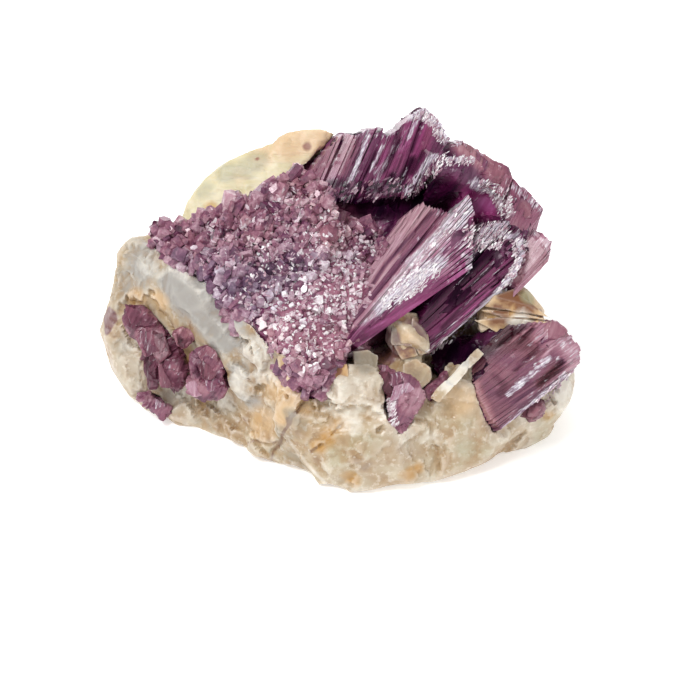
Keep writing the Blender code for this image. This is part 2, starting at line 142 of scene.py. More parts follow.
# %% Copies, grids and joins
def make_active(piece):
    bpy.ops.object.select_all(action="DESELECT")
    piece.select_set(True)
    bpy.context.view_layer.objects.active = piece


def edit_all(piece, tool, **settings):
    """Runs one mesh tool on the whole of a piece."""
    make_active(piece)
    bpy.ops.object.mode_set(mode="EDIT")
    bpy.ops.mesh.select_all(action="SELECT")
    tool(**settings)
    bpy.ops.object.mode_set(mode="OBJECT")


def copy_of(node, name):
    """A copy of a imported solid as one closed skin."""
    piece = placed(name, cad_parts[node].data.copy())
    piece.data.materials.clear()
    edit_all(piece, bpy.ops.mesh.remove_doubles, threshold=1e-6)
    return piece


def piece_of(name, points, faces):
    """A new piece with these points and faces."""
    mesh = bpy.data.meshes.new(name)
    mesh.from_pydata(points, [], faces)
    return placed(name, mesh)


def joined(stones):
    """These stones as one piece."""
    if len(stones) > 1:
        make_active(stones[0])
        for stone in stones:
            stone.select_set(True)
        bpy.ops.object.join()
    return stones[0]


def finished(piece, material, node=None):
    """Gives a piece its material and has it ride the rock's one body."""
    piece.data.materials.append(material)
    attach(piece, "root")
    if node:
        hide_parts(node)
    print(piece.name, "has", len(piece.data.polygons), "faces")
    return piece


def apply_modifier(piece, kind, **settings):
    """Adds a modifier with these settings and makes its shape the mesh."""
    make_active(piece)
    modifier = piece.modifiers.new(kind.lower(), kind)
    for key, value in settings.items():
        setattr(modifier, key, value)
    bpy.ops.object.modifier_apply(modifier=modifier.name)


def on_grid(piece, voxel):
    apply_modifier(piece, "REMESH", mode="VOXEL", voxel_size=voxel * MM)


def smoothed(piece, rounds):
    apply_modifier(piece, "SMOOTH", factor=0.5, iterations=rounds)


# %% Points and their values
def points_of(piece):
    """Places and normals of a piece's points, in millimetres."""
    points = piece.data.vertices
    places, normals = np.zeros(len(points) * 3), np.zeros(len(points) * 3)
    points.foreach_get("co", places)
    points.foreach_get("normal", normals)
    return places.reshape(-1, 3) / MM, normals.reshape(-1, 3)


def move_points(piece, places):
    piece.data.vertices.foreach_set("co", (places * MM).ravel())
    piece.data.update()


def write_value(piece, name, values):
    """One number for the piece, or one for each point, for the materials to read."""
    layer = piece.data.attributes.get(name) or piece.data.attributes.new(name, "FLOAT", "POINT")
    each = np.zeros(len(piece.data.vertices), dtype=np.float32)
    layer.data.foreach_set("value", each + np.asarray(values, dtype=np.float32))


def read_value(piece, name):
    values = np.zeros(len(piece.data.vertices), dtype=np.float32)
    piece.data.attributes[name].data.foreach_get("value", values)
    return values


def write_grain(piece, vectors):
    """How far each point lies across, along and into the laminae, in mm."""
    layer = piece.data.attributes.new("grain", "FLOAT_VECTOR", "POINT")
    layer.data.foreach_set("vector", np.asarray(vectors, dtype=np.float32).ravel())


def painted(piece, table):
    """Draws values towards new ones along strokes of the view, on what faces the eye.

    The table holds strokes for each value. A stroke is its path, how far it reaches to each
    side, and the new value."""
    places, normals = points_of(piece)
    columns, rows = view_of(places)
    facing = np.clip(normals @ np.array(BACK) * 3 + 1.2, 0, 1)
    for name, strokes in table.items():
        values = read_value(piece, name)
        for path, reach, target in strokes:
            away = np.full(len(places), np.inf)
            for (ax, ay), (bx, by) in zip(path, path[1:] or path):
                long = max(1e-9, (bx - ax) ** 2 + (by - ay) ** 2)
                share = ((columns - ax) * (bx - ax) + (rows - ay) * (by - ay)) / long
                share = np.clip(share, 0, 1)
                away = np.minimum(away, np.hypot(columns - ax - share * (bx - ax),
                                                 rows - ay - share * (by - ay)))
            weight = np.clip(1.5 - away / reach, 0, 1) * facing
            values = values * (1 - weight) + target * weight
        write_value(piece, name, values)


def evened(piece, values, rounds):
    """Values of a piece's points, each drawn half way to its neighbours' mean, over and over."""
    ends = np.zeros(len(piece.data.edges) * 2, dtype=np.int64)
    piece.data.edges.foreach_get("vertices", ends)
    ends = np.concatenate([ends.reshape(-1, 2), ends.reshape(-1, 2)[:, ::-1]])
    count = np.maximum(1, np.bincount(ends[:, 0], minlength=len(values)))
    columns = values.T.reshape(-1, len(values))
    for _ in range(rounds):
        columns = np.stack([(c + np.bincount(ends[:, 0], weights=c[ends[:, 1]],
                                             minlength=len(c)) / count) / 2 for c in columns])
    return columns.T.reshape(values.shape)


def bent(piece, rounds):
    """How far each point stands out from its neighbours, in mm: below 0 in a crease."""
    places, normals = points_of(piece)
    out = 2 * np.einsum("ij,ij->i", places - evened(piece, places, 1), normals)
    return evened(piece, out, rounds)


# %% Chipping
HOLLOW = 0.02  # how much less deep a chip counts away from its middle, so that it stays near it


def chip(piece, spacing, depth, lean, seed, outward=1.0, where=None):
    """Breaks the surface into faces about this far apart, leaning by up to this angle.

    Each point goes to whichever of the planes around it cuts deepest, so faces meet in edges.
    It returns the number of the face that each point lies on."""
    places, normals = points_of(piece)
    normals = evened(piece, normals, 6)
    normals /= np.linalg.norm(normals, axis=1)[:, None]
    rng = np.random.default_rng(seed)
    order = rng.permutation(len(places))
    cells, chips = set(), []
    for i in order:
        cell = tuple(np.floor(places[i] / spacing).astype(int))
        if cell not in cells:
            cells.add(cell)
            chips.append(i)
    centres = places[chips]
    facing = normals[chips] + rng.uniform(-1, 1, (len(chips), 3)) * math.tan(math.radians(lean))
    facing /= np.linalg.norm(facing, axis=1)[:, None]
    tree = KDTree(len(chips))
    for i, centre in enumerate(centres):
        tree.insert(centre, i)
    tree.balance()
    count = min(6, len(chips))
    around = np.array([[found[1] for found in tree.find_n(place, count)] for place in places])
    toward = centres[around] - places[:, None]
    lean_to = np.einsum("ij,ikj->ik", normals, facing[around])
    cut = np.einsum("ikj,ikj->ik", toward, facing[around]) / np.maximum(lean_to, 0.5)
    cut = np.where(lean_to > 0.5, cut, depth) + HOLLOW / spacing * (toward ** 2).sum(axis=2)
    lowest = cut.argmin(axis=1)[:, None]
    near = np.take_along_axis(around, lowest, axis=1)[:, 0]
    move = np.take_along_axis(cut, lowest, axis=1)[:, 0]
    move = np.clip(move - np.median(move), -depth, depth * outward)
    if where is not None:
        move = move * where(places)
    move_points(piece, places + normals * move[:, None])
    print(piece.name, "has", len(chips), "chips of", spacing, "mm")
    return near


def groove(piece, path, width, depth):
    """Sinks a crack along a path in the view, and returns how near each point is to it."""
    places, normals = points_of(piece)
    line = [rest.ray_cast(EYE, sight(*spot))[0] for spot in path]
    line = [np.array(p) / MM for p in line if p is not None]
    near = np.full(len(places), 1e9)
    for a, b in zip(line, line[1:]):
        share = np.clip((places - a) @ (b - a) / max(1e-9, ((b - a) ** 2).sum()), 0, 1)
        near = np.minimum(near, np.linalg.norm(places - a - share[:, None] * (b - a), axis=1))
    sunk = np.clip(1 - near / width, 0, 1)
    move_points(piece, places - normals * (sunk * depth)[:, None])
    return sunk


# %% [markdown]
# ## Tools for materials
# Colours are given as they look on a screen and turned to the linear values that the renderer
# adds and mixes. All patterns are measured in millimetres on the piece itself.


# %% Colour and nodes
def linear(code):
    """A screen colour such as #7d5068 as linear red, green, blue and full alpha."""
    parts = [int(code[i:i + 2], 16) / 255 for i in (1, 3, 5)]
    return [p / 12.92 if p <= 0.04045 else ((p + 0.055) / 1.055) ** 2.4 for p in parts] + [1.0]


def add(tree, kind, settings=(), **links):
    """A node with these settings. A link is a value, or the output it comes from."""
    node = tree.nodes.new(kind)
    for key, value in dict(settings).items():
        setattr(node, key, value)
    for key, value in links.items():
        name = int(key[1:]) if key[0] == "_" and key[1:].isdigit() else key.replace("_", " ")
        socket = node.inputs[name]
        if isinstance(value, bpy.types.NodeSocket):
            tree.links.new(value, socket)
        else:
            socket.default_value = value
    return node


def new_material(name, roughness, ior, **sockets):
    """A Principled material, its values set straight on the shader."""
    made = bpy.data.materials.new(name)
    made.use_nodes = True
    shader = made.node_tree.nodes["Principled BSDF"]
    shader.inputs["Roughness"].default_value = roughness
    shader.inputs["IOR"].default_value = ior
    for key, value in sockets.items():
        shader.inputs[key.replace("_", " ")].default_value = value
    return made, made.node_tree, shader


def ramp(tree, factor, stops):
    """A colour ramp through screen colours, each with its place from 0 to 1."""
    node = add(tree, "ShaderNodeValToRGB", Fac=factor)
    while len(node.color_ramp.elements) < len(stops):
        node.color_ramp.elements.new(0.5)
    for element, (place, code) in zip(node.color_ramp.elements, stops):
        element.position = place
        element.color = linear(code)
    return node.outputs["Color"]


def value_of(tree, name):
    return add(tree, "ShaderNodeAttribute", {"attribute_name": name}).outputs["Fac"]


def millimetres(tree):
    """Object coordinates counted in millimetres."""
    place = add(tree, "ShaderNodeTexCoord").outputs["Object"]
    return add(tree, "ShaderNodeMapping", Vector=place, Scale=(1000, 1000, 1000)).outputs[0]


def noise(tree, place, size, detail=4.0, roughness=0.55):
    """Cloudy noise from 0 to 1 whose lumps are about this many millimetres."""
    return add(tree, "ShaderNodeTexNoise", Vector=place, Scale=1.0 / size, Detail=detail,
               Roughness=roughness).outputs["Fac"]


def maths(tree, kind, first, second):
    return add(tree, "ShaderNodeMath", {"operation": kind}, _0=first, _1=second).outputs[0]


def plus(tree, first, second):
    return maths(tree, "ADD", first, second)


def times(tree, first, second):
    return maths(tree, "MULTIPLY", first, second)


def swing(tree, value, size):
    """A noise turned into a swing about 0."""
    return times(tree, maths(tree, "SUBTRACT", value, 0.5), size)


def spread(tree, value, low, high):
    """A value stretched so that low becomes 0 and high becomes 1."""
    return add(tree, "ShaderNodeMapRange", Value=value, From_Min=low, From_Max=high).outputs[0]


def mix(tree, factor, strength, below, above):
    """One colour laid over another, this strongly where the factor is 1."""
    node = add(tree, "ShaderNodeMix", {"data_type": "RGBA"}, _0=times(tree, factor, strength))
    for index, colour in ((6, below), (7, above)):
        if isinstance(colour, str):
            node.inputs[index].default_value = linear(colour)
        else:
            tree.links.new(colour, node.inputs[index])
    return node.outputs[2]


def bump(tree, shader, height, rise):
    """Relief that the light sees, this many millimetres high."""
    node = add(tree, "ShaderNodeBump", Height=height, Strength=1.0, Distance=rise * MM)
    tree.links.new(node.outputs["Normal"], shader.inputs["Normal"])


# %% [markdown]
# ## Albite, quartz and feldspar
# Albite is a white feldspar. Broken, it shows small flat cleavage faces with a glassy shine, and
# light goes a millimetre or two into it. Iron has stained it peach, yellow and rust in places,
# and smooth grey quartz runs through its left end. The stains follow the stone rather than a
# grid, so each is a named patch with a soft edge that noise breaks up.


# %% Pale rock material
# A stain is the name of its patches, where its soft edge starts and ends, its colour and strength.
STAINS = [("quartz", 0.2, 0.8, "#96938f", 0.9), ("peach", 0.2, 0.9, "#cfab7c", 0.7),
          ("ochre", 0.25, 0.9, "#b3822f", 0.8), ("rust", 0.3, 0.7, "#6e3c20", 0.9),
          ("grey", 0.2, 0.9, "#787062", 0.8), ("green", 0.2, 0.9, "#95926f", 0.7),
          ("plum", 0.25, 0.8, "#6a3c48", 0.85), ("pale", 0.2, 0.8, "#e0dace", 0.85)]


def albite():
    """Albite with quartz, peach feldspar and iron stains, each where its patch says."""
    made, tree, shader = new_material("albite", 0.42, 1.53, Subsurface_Weight=0.3,
                                      Subsurface_Scale=1.0 * MM, Subsurface_Radius=(1.0, 0.8, 0.6))
    place = millimetres(tree)
    cloud = noise(tree, place, 4.0)
    fine = noise(tree, place, 0.9, 6.0)
    facet = value_of(tree, "tone")
    colour = ramp(tree, plus(tree, times(tree, cloud, 0.88), times(tree, facet, 0.12)),
                  [(0.3, "#93775a"), (0.42, "#a88d6a"), (0.55, "#b3a185"), (0.7, "#cbc0aa")])
    broad = spread(tree, noise(tree, place, 13.0, 2.0), 0.5, 0.68)
    colour = mix(tree, broad, 0.45, colour, "#c6c1b6")
    # Whitish flecks: pale grains, partly painted glints of small cleavage faces.
    colour = mix(tree, spread(tree, fine, 0.55, 0.63), 0.4, colour, "#e0d8ca")
    seams = spread(tree, noise(tree, place, 1.5, 5.0), 0.43, 0.35)
    colour = mix(tree, seams, 0.3, colour, "#8c6e50")
    ragged = plus(tree, swing(tree, cloud, 1.5), swing(tree, fine, 0.5))
    for name, low, high, code, strength in STAINS:
        patch = value_of(tree, name)
        there = times(tree, spread(tree, plus(tree, patch, ragged), low, high),
                      spread(tree, patch, 0.0, 0.2))
        colour = mix(tree, there, strength, colour, code)
    ridge = value_of(tree, "ridge")
    # Ridges get a painted highlight; creases get painted shade that also stands for thin dirt
    # lines.
    colour = mix(tree, ridge, 0.25, colour, "#efeae0")
    colour = mix(tree, ridge, -0.35, colour, "#95713f")
    speck = maths(tree, "GREATER_THAN", noise(tree, place, 0.5, 2.0), 0.79)
    colour = mix(tree, speck, 0.4, colour, "#6a5a4a")
    tree.links.new(colour, shader.inputs["Base Color"])
    tree.links.new(plus(tree, times(tree, facet, 0.3), 0.25), shader.inputs["Roughness"])
    bump(tree, shader, fine, 0.09)
    return made


ALBITE = albite()


# %% Patches on a piece
def patches(piece, table):
    """Marks soft round patches: where each shows in the view, its reach in mm, its strength."""
    places, _ = points_of(piece)
    for name, blobs in table.items():
        value = np.zeros(len(places))
        for column, row, reach, strength in blobs:
            hit = rest.ray_cast(EYE, sight(column, row))[0]
            if hit is not None:
                away = np.linalg.norm(places - np.array(hit) / MM, axis=1) / reach
                value = np.maximum(value, strength * np.clip(1.6 - 1.2 * away, 0, 1))
        write_value(piece, name, value)


# %% The pale rock
# Columns and rows of the view where the rock is smooth, how wide and tall, and how smooth.
SMOOTH_ZONES = [(205, 315, 45, 50, 0.8), (515, 308, 45, 24, 1.0), (410, 350, 24, 44, 0.9),
                (470, 400, 22, 22, 0.7)]
MAIN_CRACK = [
    (334, 378), (322, 386), (314, 396), (305, 400), (299, 410), (291, 417), (289, 425), (283, 433),
    (280, 444), (273, 452), (271, 462),
]
# Each crack of the rock: its path in the view, its width and its depth in mm.
ROCK_CRACKS = [
    (MAIN_CRACK, 0.6, 0.6), ([(240, 448), (252, 440), (270, 446), (284, 440)], 0.6, 0.5),
    ([(392, 345), (386, 362), (380, 372)], 0.8, 0.8),
    ([(312, 452), (330, 436), (342, 424), (352, 412)], 0.5, 0.3),
    ([(285, 434), (300, 452), (312, 466)], 0.5, 0.3),
    ([(400, 358), (412, 354), (428, 358)], 0.6, 0.7),
    ([(232, 300), (246, 330), (262, 352), (268, 384)], 0.5, 0.25),
    ([(500, 312), (520, 312), (542, 318)], 0.5, 0.5),
]
# Each patch is its column and row in the view, its reach in mm and its strength.
ROCK_STAINS = {
    "quartz": [(175, 285, 4, 1), (190, 300, 5, 1), (212, 312, 5, 1), (232, 330, 5, 1),
     (250, 350, 4.5, 0.7), (262, 372, 3.6, 0.6), (240, 375, 3.5, 0.7), (248, 400, 3, 0.7),
     (140, 262, 5, 0.75), (130, 285, 4, 0.6), (275, 355, 3, 0.7)],
    "peach": [(298, 395, 3.6, 1), (288, 366, 3.4, 1), (285, 412, 3.2, 1), (262, 425, 3.4, 0.9),
     (276, 388, 3.4, 1), (310, 384, 2.6, 0.9), (240, 305, 1.6, 0.8), (258, 318, 1.6, 0.8),
     (160, 300, 2.2, 0.8), (136, 298, 2, 0.9), (184, 352, 2.6, 0.9), (450, 392, 2.6, 0.5),
     (462, 400, 3.4, 0.7), (408, 342, 2.2, 0.7), (520, 300, 6, 1), (536, 316, 4, 0.9),
     (492, 312, 4, 1), (500, 296, 3, 1)],
    "ochre": [(340, 373, 1.7, 1), (342, 426, 2, 0.8), (328, 436, 2, 0.9), (318, 446, 1.6, 0.9),
     (408, 474, 1.8, 0.9), (416, 467, 1.4, 0.9), (130, 300, 1.3, 0.9), (186, 362, 1.3, 0.9),
     (351, 478, 1.8, 0.7), (496, 318, 1.6, 0.9), (484, 300, 1.8, 0.9), (548, 415, 1.4, 0.6),
     (256, 420, 1.5, 0.6), (305, 470, 2, 0.4), (225, 430, 2, 0.4)],
    "rust": [(290, 420, 0.9, 1), (311, 452, 0.5, 0.6), (181, 361, 0.6, 1), (244, 420, 0.8, 0.7),
     (396, 346, 1.2, 0.8), (385, 340, 1.2, 0.9), (390, 352, 1.2, 0.9), (336, 366, 0.7, 1),
     (262, 425, 0.7, 0.6), (520, 318, 1.2, 0.7), (540, 314, 1.2, 0.6), (482, 398, 0.6, 0.8)],
    "grey": [(365, 368, 2.4, 0.8), (300, 425, 2.2, 0.6), (285, 435, 2.2, 0.7), (295, 462, 3, 0.6),
     (120, 300, 3, 0.5), (150, 330, 2, 0.5), (258, 385, 1.3, 0.8), (320, 400, 2, 0.5),
     (205, 420, 3, 0.4), (120, 345, 2.5, 0.5)],
    "green": [(529, 296, 2, 0.9), (545, 430, 4, 0.4), (470, 440, 5, 0.4), (355, 450, 5, 0.4)],
    "pale": [(150, 262, 3, 0.4), (336, 402, 3.6, 0.6), (356, 400, 3.6, 0.6), (240, 385, 3, 0.6),
     (225, 400, 2.4, 0.5), (310, 330, 2, 0.6), (430, 440, 2.4, 0.4), (558, 385, 4, 0.8),
     (350, 420, 3, 0.6), (170, 395, 3, 0.5), (130, 340, 3, 0.4), (375, 408, 3, 0.6),
     (270, 340, 2.5, 0.6), (252, 352, 3.5, 0.7), (262, 370, 3, 0.5)],
    "plum": [(107, 318, 1.8, 2), (106, 328, 1.2, 1.5), (220, 392, 1.6, 0.8), (205, 410, 1.2, 0.5),
     (300, 360, 1, 0.6), (345, 357, 1.4, 0.7), (372, 350, 1.4, 0.6), (199, 372, 1.4, 0.7),
     (430, 372, 1.6, 0.6), (380, 348, 2.2, 2), (390, 340, 2.2, 2), (386, 358, 1.8, 1.6),
     (372, 344, 1.6, 1.5), (396, 352, 1.4, 1.2)],
}
# Each stroke is its path in the view, its reach to each side in pixels and the new value.
ROCK_STROKES = {
    "grey": [(MAIN_CRACK, 5, 0.5), ([(288, 412), (296, 432)], 6, 0.6)],
    # The pale strokes paint highlights along the quartz's raised top edge and the lobe's rim.
    "pale": [([(158, 276), (170, 268), (184, 272), (198, 292)], 3, 0.4),
             ([(287, 436), (300, 456), (318, 476), (334, 492)], 1.8, 0.6)],
    "rust": [(MAIN_CRACK[:5], 1.4, 0.8), (MAIN_CRACK[4:8], 1.8, 1), (MAIN_CRACK[7:], 1.4, 0.8),
             ([(300, 396), (322, 380), (330, 372)], 1.2, 0.5),
             ([(311, 452), (330, 436), (342, 424)], 1.2, 0.5),
             ([(240, 446), (262, 438), (282, 444)], 1.2, 0.5)],
}


def broken(places):
    """Where the rock is broken small: not on its flat base, its blades, blocks or quartz."""
    columns, rows = view_of(places)
    smooth = np.zeros(len(places))
    for column, row, wide, tall, strength in SMOOTH_ZONES:
        away = np.hypot((columns - column) / wide, (rows - row) / tall)
        smooth = np.maximum(smooth, strength * np.clip(2.5 - 2 * away, 0, 1))
    return np.clip((places[:, 2] - 0.2) / 1.5, 0, 1) * (1 - smooth)


def ridges_lit_creases_shaded(piece):
    """Marks ridges, which get a painted highlight, and creases, which get painted shade and some
    dirt.
    """
    write_value(piece, "ridge", np.clip(bent(piece, 2) / 0.04, -1, 1))


def toned(piece, near):
    """Gives each broken face a tone of its own."""
    write_value(piece, "tone", np.random.default_rng(8).random(near.max() + 1)[near])


def hugging(piece, others):
    """Draws the stone up against what grew in it, so that no groove is left between them."""
    places, _ = points_of(piece)
    for i, place in enumerate(places):
        touch, _, _, away = others.find_nearest(Vector(place) * MM, 1.9 * MM)
        if touch is not None:
            share = 0.8 * min(1.0, 1.6 - away / MM / 1.2)
            places[i] += (np.array(touch) / MM - place) * max(0.0, share)
    move_points(piece, places)


rock = copy_of("albite_matrix", "albite_rock")
on_grid(rock, 0.38)
smoothed(rock, 4)
chip(rock, 5.2, 0.6, 16, 5, where=broken)
toned(rock, chip(rock, 2.4, 0.16, 9, 6, where=broken))
smoothed(rock, 2)
hugging(rock, surface_of([node for name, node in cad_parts.items()
                          if name != "albite_matrix"]))
cracked = sum(groove(rock, *crack) for crack in ROCK_CRACKS)
patches(rock, ROCK_STAINS)
ridges_lit_creases_shaded(rock)
for stain in ("grey", "rust"):
    write_value(rock, stain, np.maximum(read_value(rock, stain), np.clip(cracked, 0, 1) * 0.6))
painted(rock, ROCK_STROKES)
finished(rock, ALBITE, "albite_matrix")

# %% [markdown]
# ## The feldspar crystal
# It is one smooth crystal face, cream with a peach crown and a few green-grey clouds. Fine
# growth lines run nearly level across it, so its relief is stretched along them.


# %% Feldspar material
def feldspar():
    """Cream feldspar with growth lines, clouds and a few rosy spots."""
    made, tree, shader = new_material("feldspar", 0.4, 1.53, Subsurface_Weight=0.25,
                                      Subsurface_Scale=1.0 * MM, Subsurface_Radius=(1.0, 0.75, 0.5))
    place = millimetres(tree)
    lines = add(tree, "ShaderNodeMapping", Vector=place, Rotation=(0.1, 0.25, 0),
                Scale=(0.12, 0.5, 1.0)).outputs[0]
    grain = noise(tree, lines, 0.7, 6.0)
    cloud = noise(tree, place, 6.0)
    colour = ramp(tree, plus(tree, times(tree, cloud, 0.55), times(tree, grain, 0.45)),
                  [(0.25, "#b3a67c"), (0.45, "#d5c9a2"), (0.6, "#e0d6b8"), (0.8, "#ece6d2")])
    for name, code, strength in (("peach", "#d8b28c", 0.65), ("green", "#a3a189", 0.6),
                                 ("ochre", "#c89c42", 0.8), ("rosy", "#8d5a4a", 0.9)):
        edge = plus(tree, value_of(tree, name), swing(tree, grain, 0.9))
        colour = mix(tree, spread(tree, edge, 0.25, 0.8), strength, colour, code)
    tree.links.new(colour, shader.inputs["Base Color"])
    bump(tree, shader, grain, 0.3)
    return made


# %% The feldspar crystal
FELDSPAR_STAINS = {
    "peach": [(290, 142, 4, 1), (320, 142, 3.5, 0.9), (262, 155, 3, 0.7), (300, 160, 2.5, 0.5),
     (240, 176, 2, 0.5)],
    "green": [(256, 160, 2.4, 0.9), (228, 172, 2.6, 0.8), (244, 168, 2.4, 0.8),
     (205, 190, 2.4, 0.7), (200, 215, 2, 0.6)],
    "ochre": [(211, 209, 1.6, 0.8), (196, 216, 1.4, 0.8), (232, 200, 2.4, 0.4)],
    "rosy": [(307, 146, 0.9, 1), (257, 158, 0.5, 1), (247, 196, 1, 0.8)],
}
back_crystal = copy_of("feldspar_crystal", "feldspar_face")
on_grid(back_crystal, 0.4)
smoothed(back_crystal, 8)
chip(back_crystal, 4.0, 0.2, 8, 15)
chip(back_crystal, 1.4, 0.06, 14, 16)
bpy.ops.object.shade_smooth()
patches(back_crystal, FELDSPAR_STAINS)
finished(back_crystal, feldspar(), "feldspar_crystal")

# %% [markdown]
# ## Lepidolite
# Lepidolite is a lithium mica. It splits into laminae, pearly on their flat side and silvery
# where their edges fray, and looks from near black to lilac as they pile up. Each
# crystal and each lamina gets a number for its own shade, and streaks run along the laminae.


# %% Mica materials
MICA_SHADES = [(0.0, "#150613"), (0.18, "#37122e"), (0.36, "#622f50"), (0.52, "#865468"),
               (0.68, "#ac8493"), (0.84, "#d4c1c9"), (1.0, "#f4f0f2")]


def grain_mica():
    """Small broken crystals of mica: each has its own shade, with pearly faces."""
    made, tree, shader = new_material(
        "lepidolite_grains", 0.3, 1.56, Subsurface_Weight=0.15, Subsurface_Scale=0.6 * MM,
        Subsurface_Radius=(1.0, 0.5, 0.8), Coat_Weight=0.3, Coat_Roughness=0.12)
    place = millimetres(tree)
    fine = noise(tree, place, 0.35, 5.0)
    shade = plus(tree, value_of(tree, "shade"), swing(tree, fine, 0.35))
    shade = plus(tree, shade, swing(tree, noise(tree, place, 1.1), 0.7))
    colour = ramp(tree, shade, MICA_SHADES)
    colour = mix(tree, value_of(tree, "rosy"), 0.5, colour, ramp(
        tree, shade, [(0.1, "#4a2028"), (0.5, "#a8707a"), (0.9, "#e8c8c4")]))
    colour = mix(tree, value_of(tree, "cool"), 0.55, colour, ramp(
        tree, shade, [(0.1, "#2a2034"), (0.5, "#776b85"), (0.9, "#dadae6")]))
    tree.links.new(colour, shader.inputs["Base Color"])
    bump(tree, shader, fine, 0.05)
    return made


def stretched(tree, vector, scale, detail, roughness):
    """Noise drawn out along the laminae."""
    place = add(tree, "ShaderNodeMapping", Vector=vector, Scale=scale).outputs[0]
    return noise(tree, place, 1.0, detail, roughness)


def lamina_mica():
    """Piled laminae of mica: dark where you look into the pile, silver where edges fray."""
    made, tree, shader = new_material(
        "lepidolite_laminae", 0.28, 1.56, Subsurface_Weight=0.12, Subsurface_Scale=0.6 * MM,
        Subsurface_Radius=(1.0, 0.4, 0.8), Coat_Roughness=0.15, Specular_IOR_Level=0.3)
    along = add(tree, "ShaderNodeAttribute", {"attribute_name": "grain"}).outputs["Vector"]
    streak = stretched(tree, along, (2.6, 0.2, 0.2), 5.0, 0.65)
    fray = stretched(tree, along, (3.2, 0.5, 0.5), 6.0, 0.7)
    shade = plus(tree, value_of(tree, "shade"), swing(tree, streak, 0.5))
    colour = ramp(tree, shade, MICA_SHADES)
    colour = mix(tree, value_of(tree, "vivid"), 0.85, colour, ramp(tree, shade, [
        (0.0, "#140215"), (0.22, "#480832"), (0.45, "#821c5e"), (0.7, "#ae5e98"),
        (1.0, "#e6cfe2")]))
    colour = mix(tree, value_of(tree, "rosy"), 0.75, colour, ramp(tree, shade, [
        (0.0, "#24080f"), (0.25, "#5a2a33"), (0.5, "#8f5962"), (0.75, "#c0989b"),
        (1.0, "#efdcda")]))
    frost = plus(tree, value_of(tree, "frost"), swing(tree, fray, 2.2))
    pale = ramp(tree, fray, [(0.35, "#8f7d92"), (0.5, "#bdb1bf"), (0.65, "#ece8ec")])
    colour = mix(tree, spread(tree, frost, 0.4, 0.85), 1.0, colour, pale)
    tree.links.new(colour, shader.inputs["Base Color"])
    tree.links.new(plus(tree, times(tree, fray, 0.4), 0.14), shader.inputs["Roughness"])
    # Low shade also takes away shine, so the painted shade in cavities stays dark.
    lively = spread(tree, value_of(tree, "shade"), 0.02, 0.4)
    tree.links.new(times(tree, lively, 0.4), shader.inputs["Specular IOR Level"])
    tree.links.new(times(tree, lively, 0.25), shader.inputs["Coat Weight"])
    bump(tree, shader, plus(tree, streak, fray), 0.1)
    return made


GRAIN_MICA, LAMINA_MICA = grain_mica(), lamina_mica()
LOOK = ("shade", "frost", "vivid", "rosy")  # the values that the laminae read


# %% [markdown]
# ### Books of laminae
# A mica crystal is called a book because it opens like one. Here a book is a row of blades side
# by side, and each blade is a pile of thin laminae whose front edges step in and out. Each
# lamina is one jagged strip, made by the same rule from the two edges of its blade.


# %% One strip of mica
class Strips:
    """Collects stepped strips into one mesh, with the values that the mica materials read."""

    def __init__(self):
        self.points, self.faces, self.grain = [], [], []
        self.values = {name: [] for name in LOOK}

    def strip(self, stations, half, across_place, **values):
        """One strip. A station is a front place, a back place and how frosted it is there."""
        start = len(self.points)
        travelled = 0.0
        for k, (front, behind, frost) in enumerate(stations):
            if k:
                travelled += (front - stations[k - 1][0]).length / MM
            for side, place, depth in ((-1, front, 0), (0, front, 0), (1, front, 0),
                                       (1, behind, 1), (-1, behind, 1)):
                self.points.append(place + half * side)
                reach = (behind - front).length / MM * depth
                self.grain.append((across_place + side * half.length / MM, travelled, reach))
                for name in self.values:
                    self.values[name].append(frost if name == "frost" else values[name])
        for k in range(len(stations) - 1):
            a, b = start + 5 * k, start + 5 * k + 5
            for i in range(5):
                j = (i + 1) % 5
                self.faces.append((a + i, a + j, b + j, b + i))
        end = start + 5 * (len(stations) - 1)
        self.faces += [tuple(start + i for i in (4, 3, 2, 1, 0)), tuple(end + i for i in range(5))]

    def piece(self, name):
        made = piece_of(name, self.points, self.faces)
        for key, values in self.values.items():
            write_value(made, key, values)
        write_grain(made, self.grain)
        edit_all(made, bpy.ops.mesh.normals_make_consistent, inside=False)
        return made


# %% One book
FORWARD = 0.35 * MM  # a book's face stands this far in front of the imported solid
STATION = 0.6 * MM  # a lamina's edge may step in or out this often


